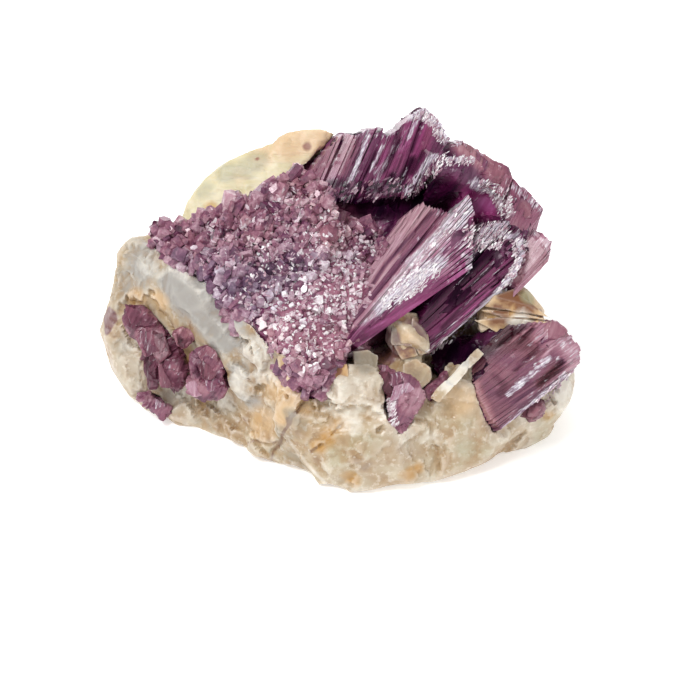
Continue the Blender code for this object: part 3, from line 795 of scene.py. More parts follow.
def open_book(name, edges, depth, laminae, seed, looks, strokes, node="lepidolite_cluster",
              stagger=0.8, fray=0.25, short=1.2):
    """A book of blades between these edges, each with its look, then painted."""
    rng = random.Random(seed)
    strips = Strips()
    back = Vector(depth) * MM
    inward = back.normalized()
    edges = [(seen(*tip), seen(*foot)) for tip, foot in edges]
    for i, ((tip_a, foot_a), (tip_b, foot_b)) in enumerate(zip(edges, edges[1:])):
        blade_step = rng.uniform(-stagger, 0) * MM - FORWARD
        own, frosted, vivid, rosy = looks[i]
        widths = [rng.uniform(0.5, 1.5) for _ in range(laminae)]
        for j in range(laminae):
            share = (sum(widths[:j]) + widths[j] / 2) / sum(widths)
            wide = widths[j] / sum(widths) * 0.56
            tip, foot = tip_a.lerp(tip_b, share), foot_a.lerp(foot_b, share)
            half = ((tip_b - tip_a) * wide).lerp((foot_b - foot_a) * wide, 0.5)
            run = tip - foot
            length = run.length
            run.normalize()
            tip = tip + run * (rng.uniform(0, 0.3) - rng.expovariate(1 / 0.35) * short * 0.5) * MM
            step = blade_step + rng.uniform(-fray, fray) * MM
            count = max(5, int(length / STATION))
            stations, jag = [], 0.0
            broken_from = rng.uniform(0.5, 1.1)
            for k in range(count + 1):
                t = k / count
                if rng.random() < 0.2:
                    jag = rng.uniform(-0.08, 0.08)
                if t > broken_from:
                    jag = fray + 0.1
                place = foot.lerp(tip, t) + inward * (step + jag * MM)
                frost = frosted * rng.uniform(0.5, 1.1)
                frost += 0.35 * max(0, t - 0.8) * 5 * (rng.random() < 0.6)
                if rng.random() < 0.08 * frosted:
                    frost += 0.5
                slant = run * rng.uniform(-0.3, 0.3) * MM
                stations.append((place, place + back + slant, min(1, frost)))
            across = (i * laminae + j) * (tip_b - tip_a).length / MM / laminae
            strips.strip(stations, half, across, shade=own + rng.gauss(0, 0.05), vivid=vivid,
                         rosy=rosy * rng.uniform(0.4, 1.2))
    book = strips.piece(name)
    painted(book, strokes)
    return finished(book, LAMINA_MICA, node)


# %% The crest book
# An edge of a blade is its tip and its foot: column and row of the view, and height in mm.
CREST_EDGES = [
    ((314, 166, 37.6), (300, 196, 34.2)), ((329, 147, 39.6), (306, 200, 33.8)),
    ((342, 134, 41.5), (312, 204, 33.4)), ((357, 136, 42), (326, 204, 33.2)),
    ((367, 129, 43), (334, 202, 33)), ((382, 128, 43.6), (348, 202, 32.8)),
    ((386, 138, 43), (356, 204, 32.6)), ((400, 127, 44), (368, 202, 32.8)),
    ((413, 115, 45.5), (382, 198, 33.2)), ((424, 108, 46.8), (394, 196, 33.2)),
    ((437, 119, 46.5), (404, 196, 33.2)), ((450, 140, 45), (415, 196, 33)),
]
# The last shade stroke darkens the crest's foot: painted shade over the cavity below it.
CREST_STROKES = {
    "vivid": [([(414, 120), (403, 150)], 6, 0.9), ([(430, 124), (420, 150), (410, 170)], 7, 1),
     ([(398, 158), (380, 186)], 5, 0.8), ([(388, 152), (378, 176)], 4, 0.9),
     ([(336, 200), (372, 204), (410, 198)], 8, 1), ([(318, 160), (345, 145)], 12, 0.1)],
    "rosy": [([(318, 168), (345, 145)], 12, 0.55), ([(430, 128), (424, 148)], 4, 0.4),
     ([(352, 140), (342, 170)], 6, 0.5)],
    "shade": [([(322, 170), (342, 148)], 7, 0.46), ([(352, 142), (340, 172)], 4, 0.5),
     ([(414, 124), (402, 150)], 3, 0.56), ([(422, 120), (412, 150)], 2, 0.22),
     ([(429, 126), (420, 152)], 3, 0.4), ([(388, 146), (378, 168)], 3, 0.5),
     ([(362, 150), (350, 176)], 2, 0.2), ([(376, 152), (364, 178)], 2, 0.2),
     ([(400, 140), (384, 172)], 2, 0.2), ([(412, 160), (398, 186)], 4, 0.1),
     ([(424, 152), (412, 172)], 3, 0.16), ([(392, 176), (384, 190)], 4, 0.08),
     ([(330, 184), (352, 184)], 5, 0.2), ([(360, 188), (384, 190)], 5, 0.14),
     ([(326, 198), (352, 202), (384, 204), (412, 198)], 6, 0.02)],
    "frost": [([(368, 136), (360, 158), (350, 184)], 2.5, 0.85),
     ([(383, 146), (371, 170)], 2, 0.7), ([(394, 144), (386, 162), (374, 186)], 2, 0.55),
     ([(407, 130), (396, 152)], 1.5, 0.5), ([(419, 116), (408, 138)], 2, 0.85),
     ([(412, 114), (424, 110), (434, 120), (446, 138)], 6, 0.85),
     ([(446, 156), (430, 158), (420, 174), (406, 192)], 4, 0.8),
     ([(378, 168), (374, 190)], 3, 0.6), ([(340, 150), (332, 166)], 2, 0.4),
     ([(342, 186), (356, 190)], 3, 0.5), ([(408, 168), (396, 190)], 1.5, 0.6),
     ([(358, 134), (366, 130)], 4, 0.6), ([(392, 190), (404, 190)], 3, 0.6),
     ([(342, 136), (352, 138)], 3, 0.4)],
}
CREST_SHADES = [0.5, 0.48, 0.5, 0.4, 0.46, 0.36, 0.36, 0.46, 0.4, 0.44, 0.34]
crest = open_book("crest_book", CREST_EDGES, (-1, 8, -5.2), 4, 3,
                  [(shade, 0.16, 0.5, 0) for shade in CREST_SHADES], CREST_STROKES)

# %% The lilac book
LILAC_EDGES = [
    ((402, 219, 33), (378, 250, 29)), ((420, 205, 34.6), (362, 290, 26)),
    ((436, 209, 34.6), (355, 314, 24.5)), ((449, 215, 34.5), (349, 334, 23.5)),
    ((468, 194, 37.6), (344, 345, 22.6)), ((473, 211, 36.5), (346, 346, 22.2)),
    ((472, 240, 33.6), (350, 344, 21.8)), ((471, 270, 30.2), (356, 347, 20.8)),
]
LILAC_LOOKS = [
    (0.66, 0.1, 0, 0.4), (0.68, 0.1, 0, 0.4), (0.4, 0.2, 0.1, 0.3), (0.62, 0.35, 0, 0.1),
    (0.72, 0.6, 0, 0), (0.55, 0.5, 0.2, 0), (0.45, 0.35, 0.7, 0),
]
LILAC_STROKES = {
    "shade": [([(375, 250), (422, 208)], 11, 0.66), ([(400, 240), (366, 280)], 6, 0.66),
     ([(432, 212), (386, 264), (362, 300)], 2, 0.3), ([(440, 214), (402, 252)], 3, 0.46),
     ([(446, 218), (412, 252)], 1.5, 0.24), ([(466, 200), (420, 252), (368, 316)], 4, 0.72),
     ([(450, 240), (442, 270)], 8, 0.62), ([(352, 342), (396, 314), (444, 286)], 8, 0.38),
     ([(356, 324), (386, 306)], 3, 0.6), ([(464, 238), (452, 256)], 5, 0.42),
     ([(480, 240), (470, 268)], 4, 0.2), ([(366, 332), (420, 302)], 1.5, 0.54),
     ([(364, 340), (400, 320), (452, 288)], 1.5, 0.26)],
    "vivid": [([(352, 340), (396, 316), (446, 288), (470, 264)], 8, 1),
     ([(450, 244), (444, 270)], 7, 0.35), ([(466, 236), (460, 250)], 7, 0.5),
     ([(375, 250), (422, 208)], 11, 0)],
    "rosy": [([(375, 250), (422, 208)], 12, 0.5), ([(366, 280), (400, 240)], 6, 0.2)],
    "frost": [([(375, 250), (422, 208)], 11, 0.05),
     ([(352, 340), (396, 316), (444, 290)], 6, 0.05),
     ([(466, 200), (440, 232), (404, 268)], 4, 0.7), ([(404, 268), (372, 308)], 3, 0.5),
     ([(380, 310), (402, 292), (428, 268), (442, 262)], 6, 0.9),
     ([(470, 206), (460, 224)], 4, 0.9)],
}
lilac = open_book("lilac_book", LILAC_EDGES, (-2, 3.5, -4.5), 5, 9, LILAC_LOOKS, LILAC_STROKES,
                  stagger=0.4, fray=0.15, short=0.6)

# %% The dark book
DARK_EDGES = [
    ((486, 226, 34.5), (430, 300, 26.5)), ((504, 221, 34), (422, 314, 24.5)),
    ((520, 230, 32.6), (417, 326, 22.5)), ((525, 250, 30.2), (418, 338, 20.6)),
    ((515, 274, 27.6), (421, 347, 19)), ((497, 293, 25), (426, 354, 17.6)),
]
DARK_LOOKS = [
    (0.3, 0.3, 0.6, 0), (0.14, 0.1, 0.9, 0), (0.3, 0.3, 0.8, 0), (0.2, 0.2, 0.9, 0),
    (0.4, 0.45, 0.7, 0),
]
DARK_STROKES = {
    "frost": [([(430, 320), (500, 250)], 16, 0.05), ([(468, 238), (484, 230), (502, 224)], 7, 0.8),
     ([(484, 244), (500, 232)], 4, 0.8),
     ([(506, 236), (518, 238), (523, 256), (512, 276), (494, 296), (474, 318),
      (440, 346)], 3, 0.9), ([(432, 334), (468, 302), (492, 278)], 4, 0.02),
     ([(478, 248), (466, 262)], 3, 0.5), ([(494, 262), (468, 288)], 1.2, 0.5),
     ([(500, 268), (480, 290), (460, 310)], 1.2, 0.45), ([(510, 250), (500, 262)], 3, 0.5),
     ([(470, 270), (452, 290)], 1.2, 0.45), ([(436, 338), (462, 316)], 1.2, 0.5)],
    "vivid": [([(430, 330), (460, 300), (500, 256)], 12, 1.1)],
    "shade": [([(434, 302), (466, 270), (492, 246)], 7, 0.04), ([(424, 322), (456, 290)], 5, 0.2),
     ([(432, 334), (468, 302), (492, 278)], 3.5, 0.36), ([(442, 328), (476, 292)], 2, 0.18),
     ([(448, 332), (490, 290)], 1.5, 0.5), ([(506, 234), (516, 250)], 5, 0.26),
     ([(452, 300), (480, 270)], 1.5, 0.34), ([(460, 296), (496, 262)], 2, 0.14)],
}
dark = open_book("dark_book", DARK_EDGES, (-3, 6, -4), 6, 13, DARK_LOOKS, DARK_STROKES,
                 stagger=0.5, fray=0.2)

# %% The right book
RIGHT_EDGES = [
    ((507, 326, 20.8), (468, 362, 15.8)), ((526, 324, 21.2), (472, 374, 15.2)),
    ((551, 320, 21), (474, 386, 14.8)), ((567, 333, 19.8), (478, 396, 14)),
    ((579, 347, 18), (484, 408, 12.5)), ((579, 360, 16.5), (490, 420, 11)),
    ((572, 372, 15), (500, 430, 9.5)),
]
RIGHT_LOOKS = [
    (0.2, 0, 0.5, 0.5), (0.34, 0, 0.2, 0.7), (0.4, 0.05, 0.1, 0.7), (0.34, 0.2, 0.1, 0.7),
    (0.36, 0.25, 0.1, 0.6), (0.42, 0.35, 0, 0.5),
]
# The first shade stroke paints shade into the deep hole left of the right book.
RIGHT_STROKES = {
    "shade": [([(440, 350), (468, 348)], 12, 0.02),
     ([(476, 350), (496, 336), (526, 336)], 11, 0.12), ([(500, 350), (524, 344)], 5, 0.3),
     ([(484, 368), (506, 376)], 9, 0.42), ([(540, 332), (568, 344)], 12, 0.58),
     ([(572, 350), (574, 368)], 9, 0.64), ([(512, 388), (545, 356)], 6, 0.4),
     ([(488, 410), (514, 410)], 9, 0.38), ([(500, 394), (526, 382)], 4, 0.26),
     ([(540, 346), (516, 370)], 1.5, 0.16), ([(540, 384), (562, 362)], 3, 0.1),
     ([(514, 332), (498, 346)], 2, 0.04), ([(534, 328), (518, 344)], 1.5, 0.12),
     ([(526, 330), (512, 342)], 1.5, 0.5), ([(548, 328), (536, 340)], 2, 0.66),
     ([(520, 410), (544, 390)], 4, 0.3), ([(470, 374), (480, 400), (490, 420)], 5, 0.6),
     ([(494, 376), (512, 392)], 3, 0.3), ([(552, 346), (540, 362)], 2, 0.7)],
    "rosy": [([(490, 334), (530, 344)], 14, 1.1), ([(540, 384), (562, 362)], 5, 1.2),
     ([(484, 366), (506, 382)], 12, 0.8), ([(484, 404), (506, 414)], 10, 0.8),
     ([(548, 336), (572, 360)], 12, 0.35), ([(470, 370), (480, 398), (492, 424)], 6, 1.3)],
    "frost": [([(480, 345), (510, 385), (500, 410)], 18, 0), ([(516, 388), (550, 358)], 3, 0.75),
     ([(508, 394), (524, 380)], 3, 0.85), ([(526, 362), (542, 348)], 1.5, 0.6),
     ([(504, 428), (530, 406), (564, 376)], 3, 0.7), ([(556, 338), (572, 352)], 3, 0.45),
     ([(496, 424), (516, 410)], 2, 0.4), ([(545, 330), (530, 345)], 1.5, 0.6),
     ([(504, 334), (494, 342)], 1.5, 0.4), ([(524, 334), (512, 346)], 1.2, 0.5)],
}
right = open_book("right_book", RIGHT_EDGES, (-3, 6, -6), 4, 17, RIGHT_LOOKS, RIGHT_STROKES,
                  node=None, stagger=0.3, fray=0.12, short=0.5)

# %% The east book
EAST_EDGES = [
    ((513, 179, 39.2), (497, 228, 31)), ((528, 192, 36.8), (504, 242, 29.8)),
    ((543, 209, 33.8), (512, 250, 28.8)), ((535, 231, 31.4), (510, 264, 27.4)),
    ((551, 241, 31), (516, 283, 25.2)), ((548, 261, 28.6), (511, 297, 24.4)),
]
EAST_LOOKS = [
    (0.5, 0.2, 0.1, 0.6), (0.56, 0.15, 0, 0.7), (0.5, 0.2, 0.1, 0.6), (0.6, 0.3, 0, 0.4),
    (0.64, 0.3, 0, 0.3),
]
EAST_STROKES = {
    "shade": [([(516, 196), (536, 220)], 14, 0.4), ([(540, 214), (528, 236)], 6, 0.46),
     ([(530, 244), (546, 254)], 8, 0.56), ([(518, 252), (530, 272)], 9, 0.6),
     ([(520, 238), (534, 232)], 3, 0.24)],
    "rosy": [([(516, 196), (536, 222)], 16, 0.6), ([(518, 250), (542, 262)], 16, 0.6)],
    "vivid": [([(516, 196), (536, 222)], 16, 0.6)],
    "frost": [([(510, 184), (526, 198), (542, 212)], 2.5, 0.6),
     ([(544, 240), (550, 258)], 2, 0.5)],
}
east = open_book("east_book", EAST_EDGES, (-2, 5, -3), 3, 21, EAST_LOOKS, EAST_STROKES,
                 stagger=0.3, fray=0.12, short=0.5)

# %% The rim laminae
RIM_EDGES = [
    ((452, 147, 44.6), (448, 162, 42)), ((463, 141, 44.2), (460, 164, 41.2)),
    ((476, 150, 43.2), (472, 172, 40.2)), ((488, 161, 42), (480, 181, 38.8)),
    ((501, 166, 41), (492, 190, 37.4)), ((513, 178, 39.6), (503, 198, 36.2)),
]
RIM_LOOKS = [
    (0.6, 0.4, 0, 0.4), (0.5, 0.2, 0, 1), (0.42, 0.2, 0.2, 0.6), (0.55, 0.2, 0, 0.7),
    (0.46, 0.35, 0.1, 0.6),
]
rim = open_book("rim_book", RIM_EDGES, (-1, 5, -3), 3, 23, RIM_LOOKS, {}, stagger=0.9, fray=0.3,
                short=1.6)

# %% [markdown]
# ### The mass behind the books
# Between and behind the books the mica is one broken mass. A copy of the imported solid, put on a
# fine grid, chipped small and drawn in a little, fills every gap that could show. The small
# crystals are made the same way and grow a little instead.


# %% Masses of mica
# The shade strokes along the crest's foot and from (410, 320) to (480, 276) paint shade into the
# cavity under the crest and into the gap between the lilac and dark books.
# The strokes at (474, 206) brighten a magenta window: a painted glow of light through thin mica.
MASS_STROKES = {
    "shade": [([(340, 206), (384, 208), (412, 204)], 12, 0.02),
     ([(428, 196), (448, 190)], 16, 0.05), ([(458, 206), (466, 190)], 7, 0.3),
     ([(444, 168), (472, 178)], 9, 0.26), ([(474, 206), (488, 204)], 11, 0.56),
     ([(486, 162), (506, 184)], 12, 0.5), ([(160, 240), (240, 205), (320, 185)], 26, 0.26),
     ([(330, 222), (350, 232)], 10, 0.4), ([(292, 328), (330, 300), (352, 270)], 26, 0.55),
     ([(330, 345), (318, 330)], 20, 0.55), ([(462, 146), (480, 156)], 10, 0.55),
     ([(410, 320), (440, 300), (480, 276)], 14, 0.04), ([(372, 350), (396, 340)], 9, 0.1),
     ([(440, 164), (452, 166)], 4, 0.3), ([(500, 182), (512, 190)], 8, 0.4),
     ([(524, 207), (526, 212)], 9, 0.46), ([(519, 272), (519, 282)], 9, 0.54)],
    "vivid": [([(524, 207), (519, 277)], 8, 0), ([(474, 208), (490, 206)], 14, 1),
     ([(452, 206), (466, 188)], 9, 1), ([(442, 164), (474, 178)], 10, 0),
     ([(486, 160), (506, 184)], 14, 0.2), ([(462, 146), (480, 156)], 10, 0),
     ([(428, 196), (448, 190)], 16, 0.9)],
    "rosy": [([(486, 160), (508, 186)], 12, 0.9), ([(460, 144), (480, 156)], 10, 0.9),
     ([(160, 240), (240, 205), (320, 185), (340, 225)], 26, 0.6),
     ([(292, 328), (330, 345), (352, 270)], 26, 0.6), ([(524, 207), (526, 212)], 9, 0.8),
     ([(519, 272), (519, 282)], 9, 0.8), ([(372, 350), (396, 340)], 10, 0.8)],
    "frost": [([(446, 159), (472, 160)], 3, 0.8), ([(476, 184), (510, 196)], 7, 0.75),
     ([(500, 206), (512, 218)], 5, 0.75), ([(445, 168), (456, 170)], 2, 0.45)],
}
# The first shade stroke paints shade into the deep hole left of the right book.
RIGHT_MASS_STROKES = {
    "shade": [([(436, 352), (466, 350)], 14, 0.02), ([(484, 336), (500, 336)], 8, 0.2),
     ([(548, 326), (564, 336)], 14, 0.54)],
    "vivid": [([(548, 326), (564, 336)], 14, 0)],
    "rosy": [([(548, 326), (564, 336)], 14, 0.6)],
}


def mass_of(node, name, voxel, drawn_in, seed, look, strokes, faces=(3.2, 1.4), lean=16):
    """A chipped copy of a packed mica solid. Each of its broken faces has a shade of its own."""
    piece = copy_of(node, name)
    on_grid(piece, voxel)
    if drawn_in > 0:
        smoothed(piece, 3)
    rng = np.random.default_rng(seed)
    shade, *others = look
    for size, depth, turn, varied in ((faces[0], lean / 40, lean, 0.06),
                                      (faces[1], lean / 120, lean * 0.7, 0.05)):
        near = chip(piece, size, depth, turn, seed)
        shade = shade + rng.normal(0, varied, near.max() + 1)[near]
    places, normals = points_of(piece)
    move_points(piece, places - normals * drawn_in)
    for key, value in zip(LOOK, (shade, *others)):
        write_value(piece, key, value)
    x, y, z = places.T
    write_grain(piece, np.stack([x * 0.8 - z * 0.5, z + x * 0.6, y], axis=1)
                * (0.35 if drawn_in > 0 else 0.8))
    painted(piece, strokes)
    return finished(piece, LAMINA_MICA, node)


mass = mass_of("lepidolite_cluster", "mica_mass", 0.5, 0.4, 41, (0.25, 0.05, 0.4, 0),
               MASS_STROKES, (4.0, 1.8))
right_mass = mass_of("lepidolite_right_book", "right_mass", 0.4, 0.35, 43, (0.2, 0.05, 0.5, 0),
                     RIGHT_MASS_STROKES)

# %% The small crystals
GROWN = 0.2  # mm that a small crystal grows by, which closes the gap that the solids leave
# A small crystal's grid in mm, seed, shade, how rosy it is, and the sizes of its broken faces.
SMALL = {
    "front_crystal": (0.3, 51, 0.5, 0.4, (3.0, 1.4)),
    "side_crystal": (0.3, 53, 0.34, 0.8, (3.4, 1.6)),
    "pocket_crystal": (0.25, 55, 0.42, 1.0, (1.8, 0.9)),
    "ledge_crystal": (0.25, 57, 0.38, 0.6, (2.4, 1.2)),
    "corner_crystal": (0.25, 59, 0.52, 0.2, (1.8, 0.9)),
    "gap_crystal": (0.25, 61, 0.42, 0.6, (2.2, 1.0)),
    "foot_crystal": (0.25, 63, 0.34, 1.0, (2.0, 1.0)),
}
SMALL_STROKES = {
    "side_crystal": {
        "shade": [([(143, 336)], 7, 0.62), ([(164, 352)], 7, 0.26), ([(162, 376)], 8, 0.24),
         ([(128, 308), (136, 324)], 7, 0.28), ([(174, 370)], 6, 0.44),
         ([(150, 366), (156, 388)], 4, 0.2)],
        "frost": [([(142, 334), (148, 342)], 4, 0.6), ([(168, 366), (178, 374)], 3, 0.4)],
    },
    "ledge_crystal": {
        "shade": [([(204, 352)], 6, 0.3), ([(190, 386), (206, 388)], 7, 0.6),
         ([(212, 384)], 5, 0.34), ([(198, 372)], 5, 0.22), ([(218, 376)], 4, 0.3)],
    },
    "front_crystal": {
        "shade": [([(386, 378), (396, 396)], 5, 0.34), ([(400, 392), (408, 408)], 7, 0.58),
         ([(412, 382)], 6, 0.4), ([(404, 424)], 6, 0.46)],
    },
}
small = {name: mass_of("lepidolite_" + name, name, grid, -GROWN, seed, (shade, 0.05, 0, rosy),
                       SMALL_STROKES.get(name, {}), faces, 30)
         for name, (grid, seed, shade, rosy, faces) in SMALL.items()}

# %% [markdown]
# ### Flat faces of the small crystals
# From the front each small crystal shows a few clean faces. Each of them is a flat-faced stone of
# its own: the tight skin round the corners that show and the same corners further back.


# %% Flat-faced stones
def stone_of(name, corners, sunk):
    """A flat-faced stone: the tight skin round these corners and the same ones further back."""
    middle = sum(corners, Vector()) / len(corners)
    away = (middle - EYE).normalized() * sunk * MM
    stone = piece_of(name, corners + [p.lerp(middle, 0.15) + away for p in corners], [])
    edit_all(stone, bpy.ops.mesh.convex_hull)
    on_grid(stone, 0.2)
    return stone


def faceted(name, node, stones):
    """Flat-faced crystals out of a small one: each has its outline in the view and its look."""
    rng = np.random.default_rng(len(name))
    made = []
    for outline, shade, frost, rosy in stones:
        reach = [rest.ray_cast(EYE, sight(*spot))[3] or EYE_DISTANCE for spot in outline]
        middle = np.mean(outline, axis=0)
        tilt = rng.uniform(-0.07, 0.07, 2)
        near = sorted(reach)[len(reach) // 3] - 0.4 * MM
        corners = [EYE + sight(*spot) * (near + float(tilt @ (spot - middle)) * MM)
                   for spot in outline]
        stone = stone_of(name, corners, 2.5)
        face = chip(stone, 1.6, 0.12, 12, len(made))
        shades = shade + rng.normal(0, 0.05, face.max() + 1)[face]
        for key, value in zip(LOOK, (shades, frost, 0.1, rosy)):
            write_value(stone, key, value)
        places, _ = points_of(stone)
        turn = np.array([[0.8, 0.3, -0.5], [0.6, 0.1, 1.0], [0.0, 1.0, 0.0]])
        write_grain(stone, places @ turn.T * 0.8)
        made.append(stone)
    return finished(joined(made), LAMINA_MICA, node)


# Each stone is its outline in the view, its shade, how frosted and how rosy it is.
FACETS = {
    "side": [([(124, 304), (140, 309), (150, 324), (140, 338), (131, 327)], 0.34, 0.1, 0.8),
     ([(134, 338), (150, 322), (160, 332), (156, 352), (145, 358)], 0.42, 0.3, 0.7),
     ([(152, 328), (166, 336), (172, 354), (160, 364), (150, 352)], 0.32, 0.1, 1),
     ([(144, 356), (158, 352), (162, 372), (158, 389), (149, 390), (144, 372)], 0.24, 0.1, 0.8),
     ([(158, 358), (171, 356), (180, 367), (184, 381), (172, 388), (160, 387)], 0.36, 0.15, 0.9)],
    "ledge": [([(197, 352), (208, 346), (217, 352), (218, 366), (204, 370)], 0.52, 0.3, 0.9),
     ([(198, 364), (210, 362), (220, 370), (214, 380), (202, 379)], 0.34, 0.2, 0.9),
     ([(204, 376), (216, 374), (226, 382), (224, 391), (208, 391)], 0.46, 0.3, 0.2),
     ([(184, 387), (190, 381), (203, 379), (209, 386), (206, 394), (194, 397)], 0.68, 0.2, 0.2)],
    "pocket": [([(173, 334), (182, 331), (184, 346), (176, 346)], 0.5, 0, 1),
     ([(182, 332), (191, 334), (192, 343), (184, 347)], 0.36, 0, 1)],
    "front": [([(379, 372), (389, 372), (394, 390), (390, 402), (383, 390)], 0.24, 0, 1),
     ([(386, 376), (398, 371), (412, 374), (416, 385), (404, 390), (392, 388)], 0.38, 0.3, 0.6),
     ([(393, 386), (408, 382), (417, 391), (418, 406), (413, 420), (404, 431), (397, 431),
      (391, 416), (390, 402)], 0.6, 0.4, 0)],
    "foot": [([(519, 416), (530, 401), (543, 403), (540, 416), (530, 421)], 0.36, 0.1, 1.2)],
    "gap": [([(421, 393), (430, 383), (442, 377), (445, 382), (438, 392),
      (430, 400)], 0.42, 0.2, 0.8)],
    "corner": [([(136, 392), (146, 391), (157, 400), (154, 412), (144, 404)], 0.5, 0.3, 0.1),
     ([(154, 398), (166, 405), (172, 414), (164, 418), (156, 412)], 0.42, 0.4, 0.1)],
}
facets = {crystal: faceted(crystal + "_facets", "lepidolite_%s_crystal" % crystal, stones)
          for crystal, stones in FACETS.items()}

# %% [markdown]
# ### The granular crust
# The slab is covered with small broken crystals, blocks at the upper left and crumbs at the lower
# right. One crystal is modelled: a six-sided plate with its corners broken. It is then
# copied thousands of times onto the slab, each copy turned, stretched and shaded by its place.
# %% One crystal, modelled once
# Where each corner is broken off, in mm, and which way the break faces.
BREAKS = [((0.36, 0.1, 0.3), (1, 0.3, 0.8)), ((-0.3, -0.3, 0.36), (-0.6, -0.7, 1)),
          ((0.1, 0.4, -0.34), (0.2, 1, -0.9))]
bpy.ops.mesh.primitive_cylinder_add(vertices=6, radius=0.5 * MM, depth=0.9 * MM)
seed_crystal = bpy.context.object
for corner, slope in BREAKS:
    edit_all(seed_crystal, bpy.ops.mesh.bisect, plane_co=Vector(corner) * MM, plane_no=slope,
             use_fill=True, clear_outer=True)
edit_all(seed_crystal, bpy.ops.mesh.normals_make_consistent, inside=False)
CRYSTAL_POINTS = np.array([v.co for v in seed_crystal.data.vertices])
CRYSTAL_FACES = [list(face.vertices) for face in seed_crystal.data.polygons]
bpy.data.objects.remove(seed_crystal)
print("the crystal has", len(CRYSTAL_POINTS), "points and", len(CRYSTAL_FACES), "faces")


# %% Many crystals in one piece
def turned(axis, rng):
    """A random turn about an axis."""
    frame_of = axis.to_track_quat("Z", "Y").to_matrix()
    return frame_of @ Matrix.Rotation(rng.uniform(0, 6.28), 3, "Z")


def crystals(name, spots):
    """A piece of crystals. A spot is a place, three sizes in mm, a turn, and its three tints."""
    count = len(CRYSTAL_POINTS)
    points = [(CRYSTAL_POINTS * np.array(sizes)) @ np.array(turn).T + np.array(place)
              for place, sizes, turn, *_ in spots]
    faces = [[k * count + i for i in face] for k in range(len(spots)) for face in CRYSTAL_FACES]
    piece = piece_of(name, np.concatenate(points).tolist(), faces)
    for index, key in enumerate(("shade", "rosy", "cool"), 3):
        write_value(piece, key, np.repeat([spot[index] for spot in spots], count))
    return finished(piece, GRAIN_MICA, "lepidolite_cluster")


def scattered(piece, spacing, seed, wanted):
    """Places and normals spread over a piece, at least this far apart, where wanted."""
    mesh = piece.data
    mesh.calc_loop_triangles()
    corners = np.array([t.vertices[:] for t in mesh.loop_triangles])
    places, _ = points_of(piece)
    a, b, c = (places[corners[:, i]] for i in range(3))
    normals = np.cross(b - a, c - a)
    areas = np.linalg.norm(normals, axis=1)
    normals /= np.maximum(areas, 1e-9)[:, None]
    rng = np.random.default_rng(seed)
    picks = rng.choice(len(areas), int(areas.sum() / spacing ** 2 * 2.5), p=areas / areas.sum())
    u, v = rng.random(len(picks)), rng.random(len(picks))
    flip = u + v > 1
    u[flip], v[flip] = 1 - u[flip], 1 - v[flip]
    spots = a[picks] + (b - a)[picks] * u[:, None] + (c - a)[picks] * v[:, None]
    taken, kept = {}, []
    for place, normal in zip(spots, normals[picks]):
        if not wanted(place, normal):
            continue
        cell = tuple((place // spacing).astype(int))
        near = [q for dx in (-1, 0, 1) for dy in (-1, 0, 1) for dz in (-1, 0, 1)
                for q in taken.get((cell[0] + dx, cell[1] + dy, cell[2] + dz), ())]
        if any(((place - q) ** 2).sum() < spacing ** 2 for q in near):
            continue
        taken.setdefault(cell, []).append(place)
        kept.append((place, normal))
    return kept


# %% Where the crust grows
LOWER_TERRACE = shown([
    (230, 300, 25.6), (262, 321, 24.6), (290, 345, 23.8), (304, 366, 22.4), (310, 374, 21.4),
    (332, 374, 20.4), (346, 352, 21.4), (366, 300, 25.4), (380, 254, 28.6),
    (368, 230, 30.4), (320, 218, 32.0), (220, 268, 28.5), (206, 284, 27.0),
])
UPPER_TERRACE = shown([
    (148, 238, 28.8), (164, 230, 30.4), (190, 220, 32.4), (222, 208, 34.6),
    (250, 196, 36.0), (276, 184, 37.2), (302, 172, 38.4), (334, 196, 36.2),
    (346, 226, 32.8), (330, 254, 30.6), (276, 270, 29.2), (230, 282, 28.0),
    (186, 268, 27.4), (160, 250, 27.4),
])
plans = []
for outline in (LOWER_TERRACE, UPPER_TERRACE):
    middle = sum(outline, Vector()) / len(outline)
    plans.append([tuple((middle + (p - middle) * 1.12).xy / MM) for p in outline])


def on_crust(place, normal):
    return (place[2] > 17 and normal[2] > -0.3
            and any(inside(place[0], place[1], plan) for plan in plans))


# %% Zones of the crust
# Each zone is a column and a row of the view, how far it reaches there, and how strong it is.
PALE_ZONES = [(300, 320, 60, 0.9), (340, 290, 45, 0.9), (355, 255, 35, 0.7), (325, 335, 40, 1.0),
              (262, 245, 25, 0.5), (290, 300, 30, 0.6), (222, 268, 12, 0.6), (300, 190, 26, 0.4)]
# The dark zones are partly dark mica and partly painted shade in the crack between the terraces.
DARK_AND_SHADED_ZONES = [(262, 275, 22, 0.8), (240, 290, 18, 0.8), (206, 282, 12, 1.0), (285, 262, 20, 0.5),
              (180, 250, 20, 0.5), (215, 225, 20, 0.5), (330, 372, 14, 0.5), (352, 262, 12, 0.6),
              (250, 190, 25, 0.3), (362, 250, 12, 0.4), (232, 250, 12, 0.5)]
COOL_ZONES = [(225, 280, 34, 1.0), (262, 292, 40, 1.0), (290, 268, 30, 0.8), (215, 262, 18, 0.6),
              (318, 262, 18, 0.7), (185, 262, 14, 0.7), (348, 262, 20, 0.5)]
ROSY_ZONES = [(330, 240, 22, 1.0), (320, 212, 24, 0.9), (255, 225, 28, 0.6), (300, 186, 28, 1.0),
              (190, 240, 30, 0.6), (340, 345, 26, 0.8), (312, 352, 28, 0.8), (270, 330, 24, 0.7),
              (356, 340, 20, 0.7), (225, 215, 34, 0.6), (345, 228, 16, 0.8)]


def zone(column, row, zones):
    """How strongly a place of the view lies in some of these zones, from 0 to 1."""
    return max(strength * min(1.0, 1.6 * max(0.0, 1 - math.hypot(column - x, row - y) / reach))
               for x, y, reach, strength in zones)


# %% Blocks and crumbs
BOOK_LEAN = Vector((0.5, 0.35, 0.8))


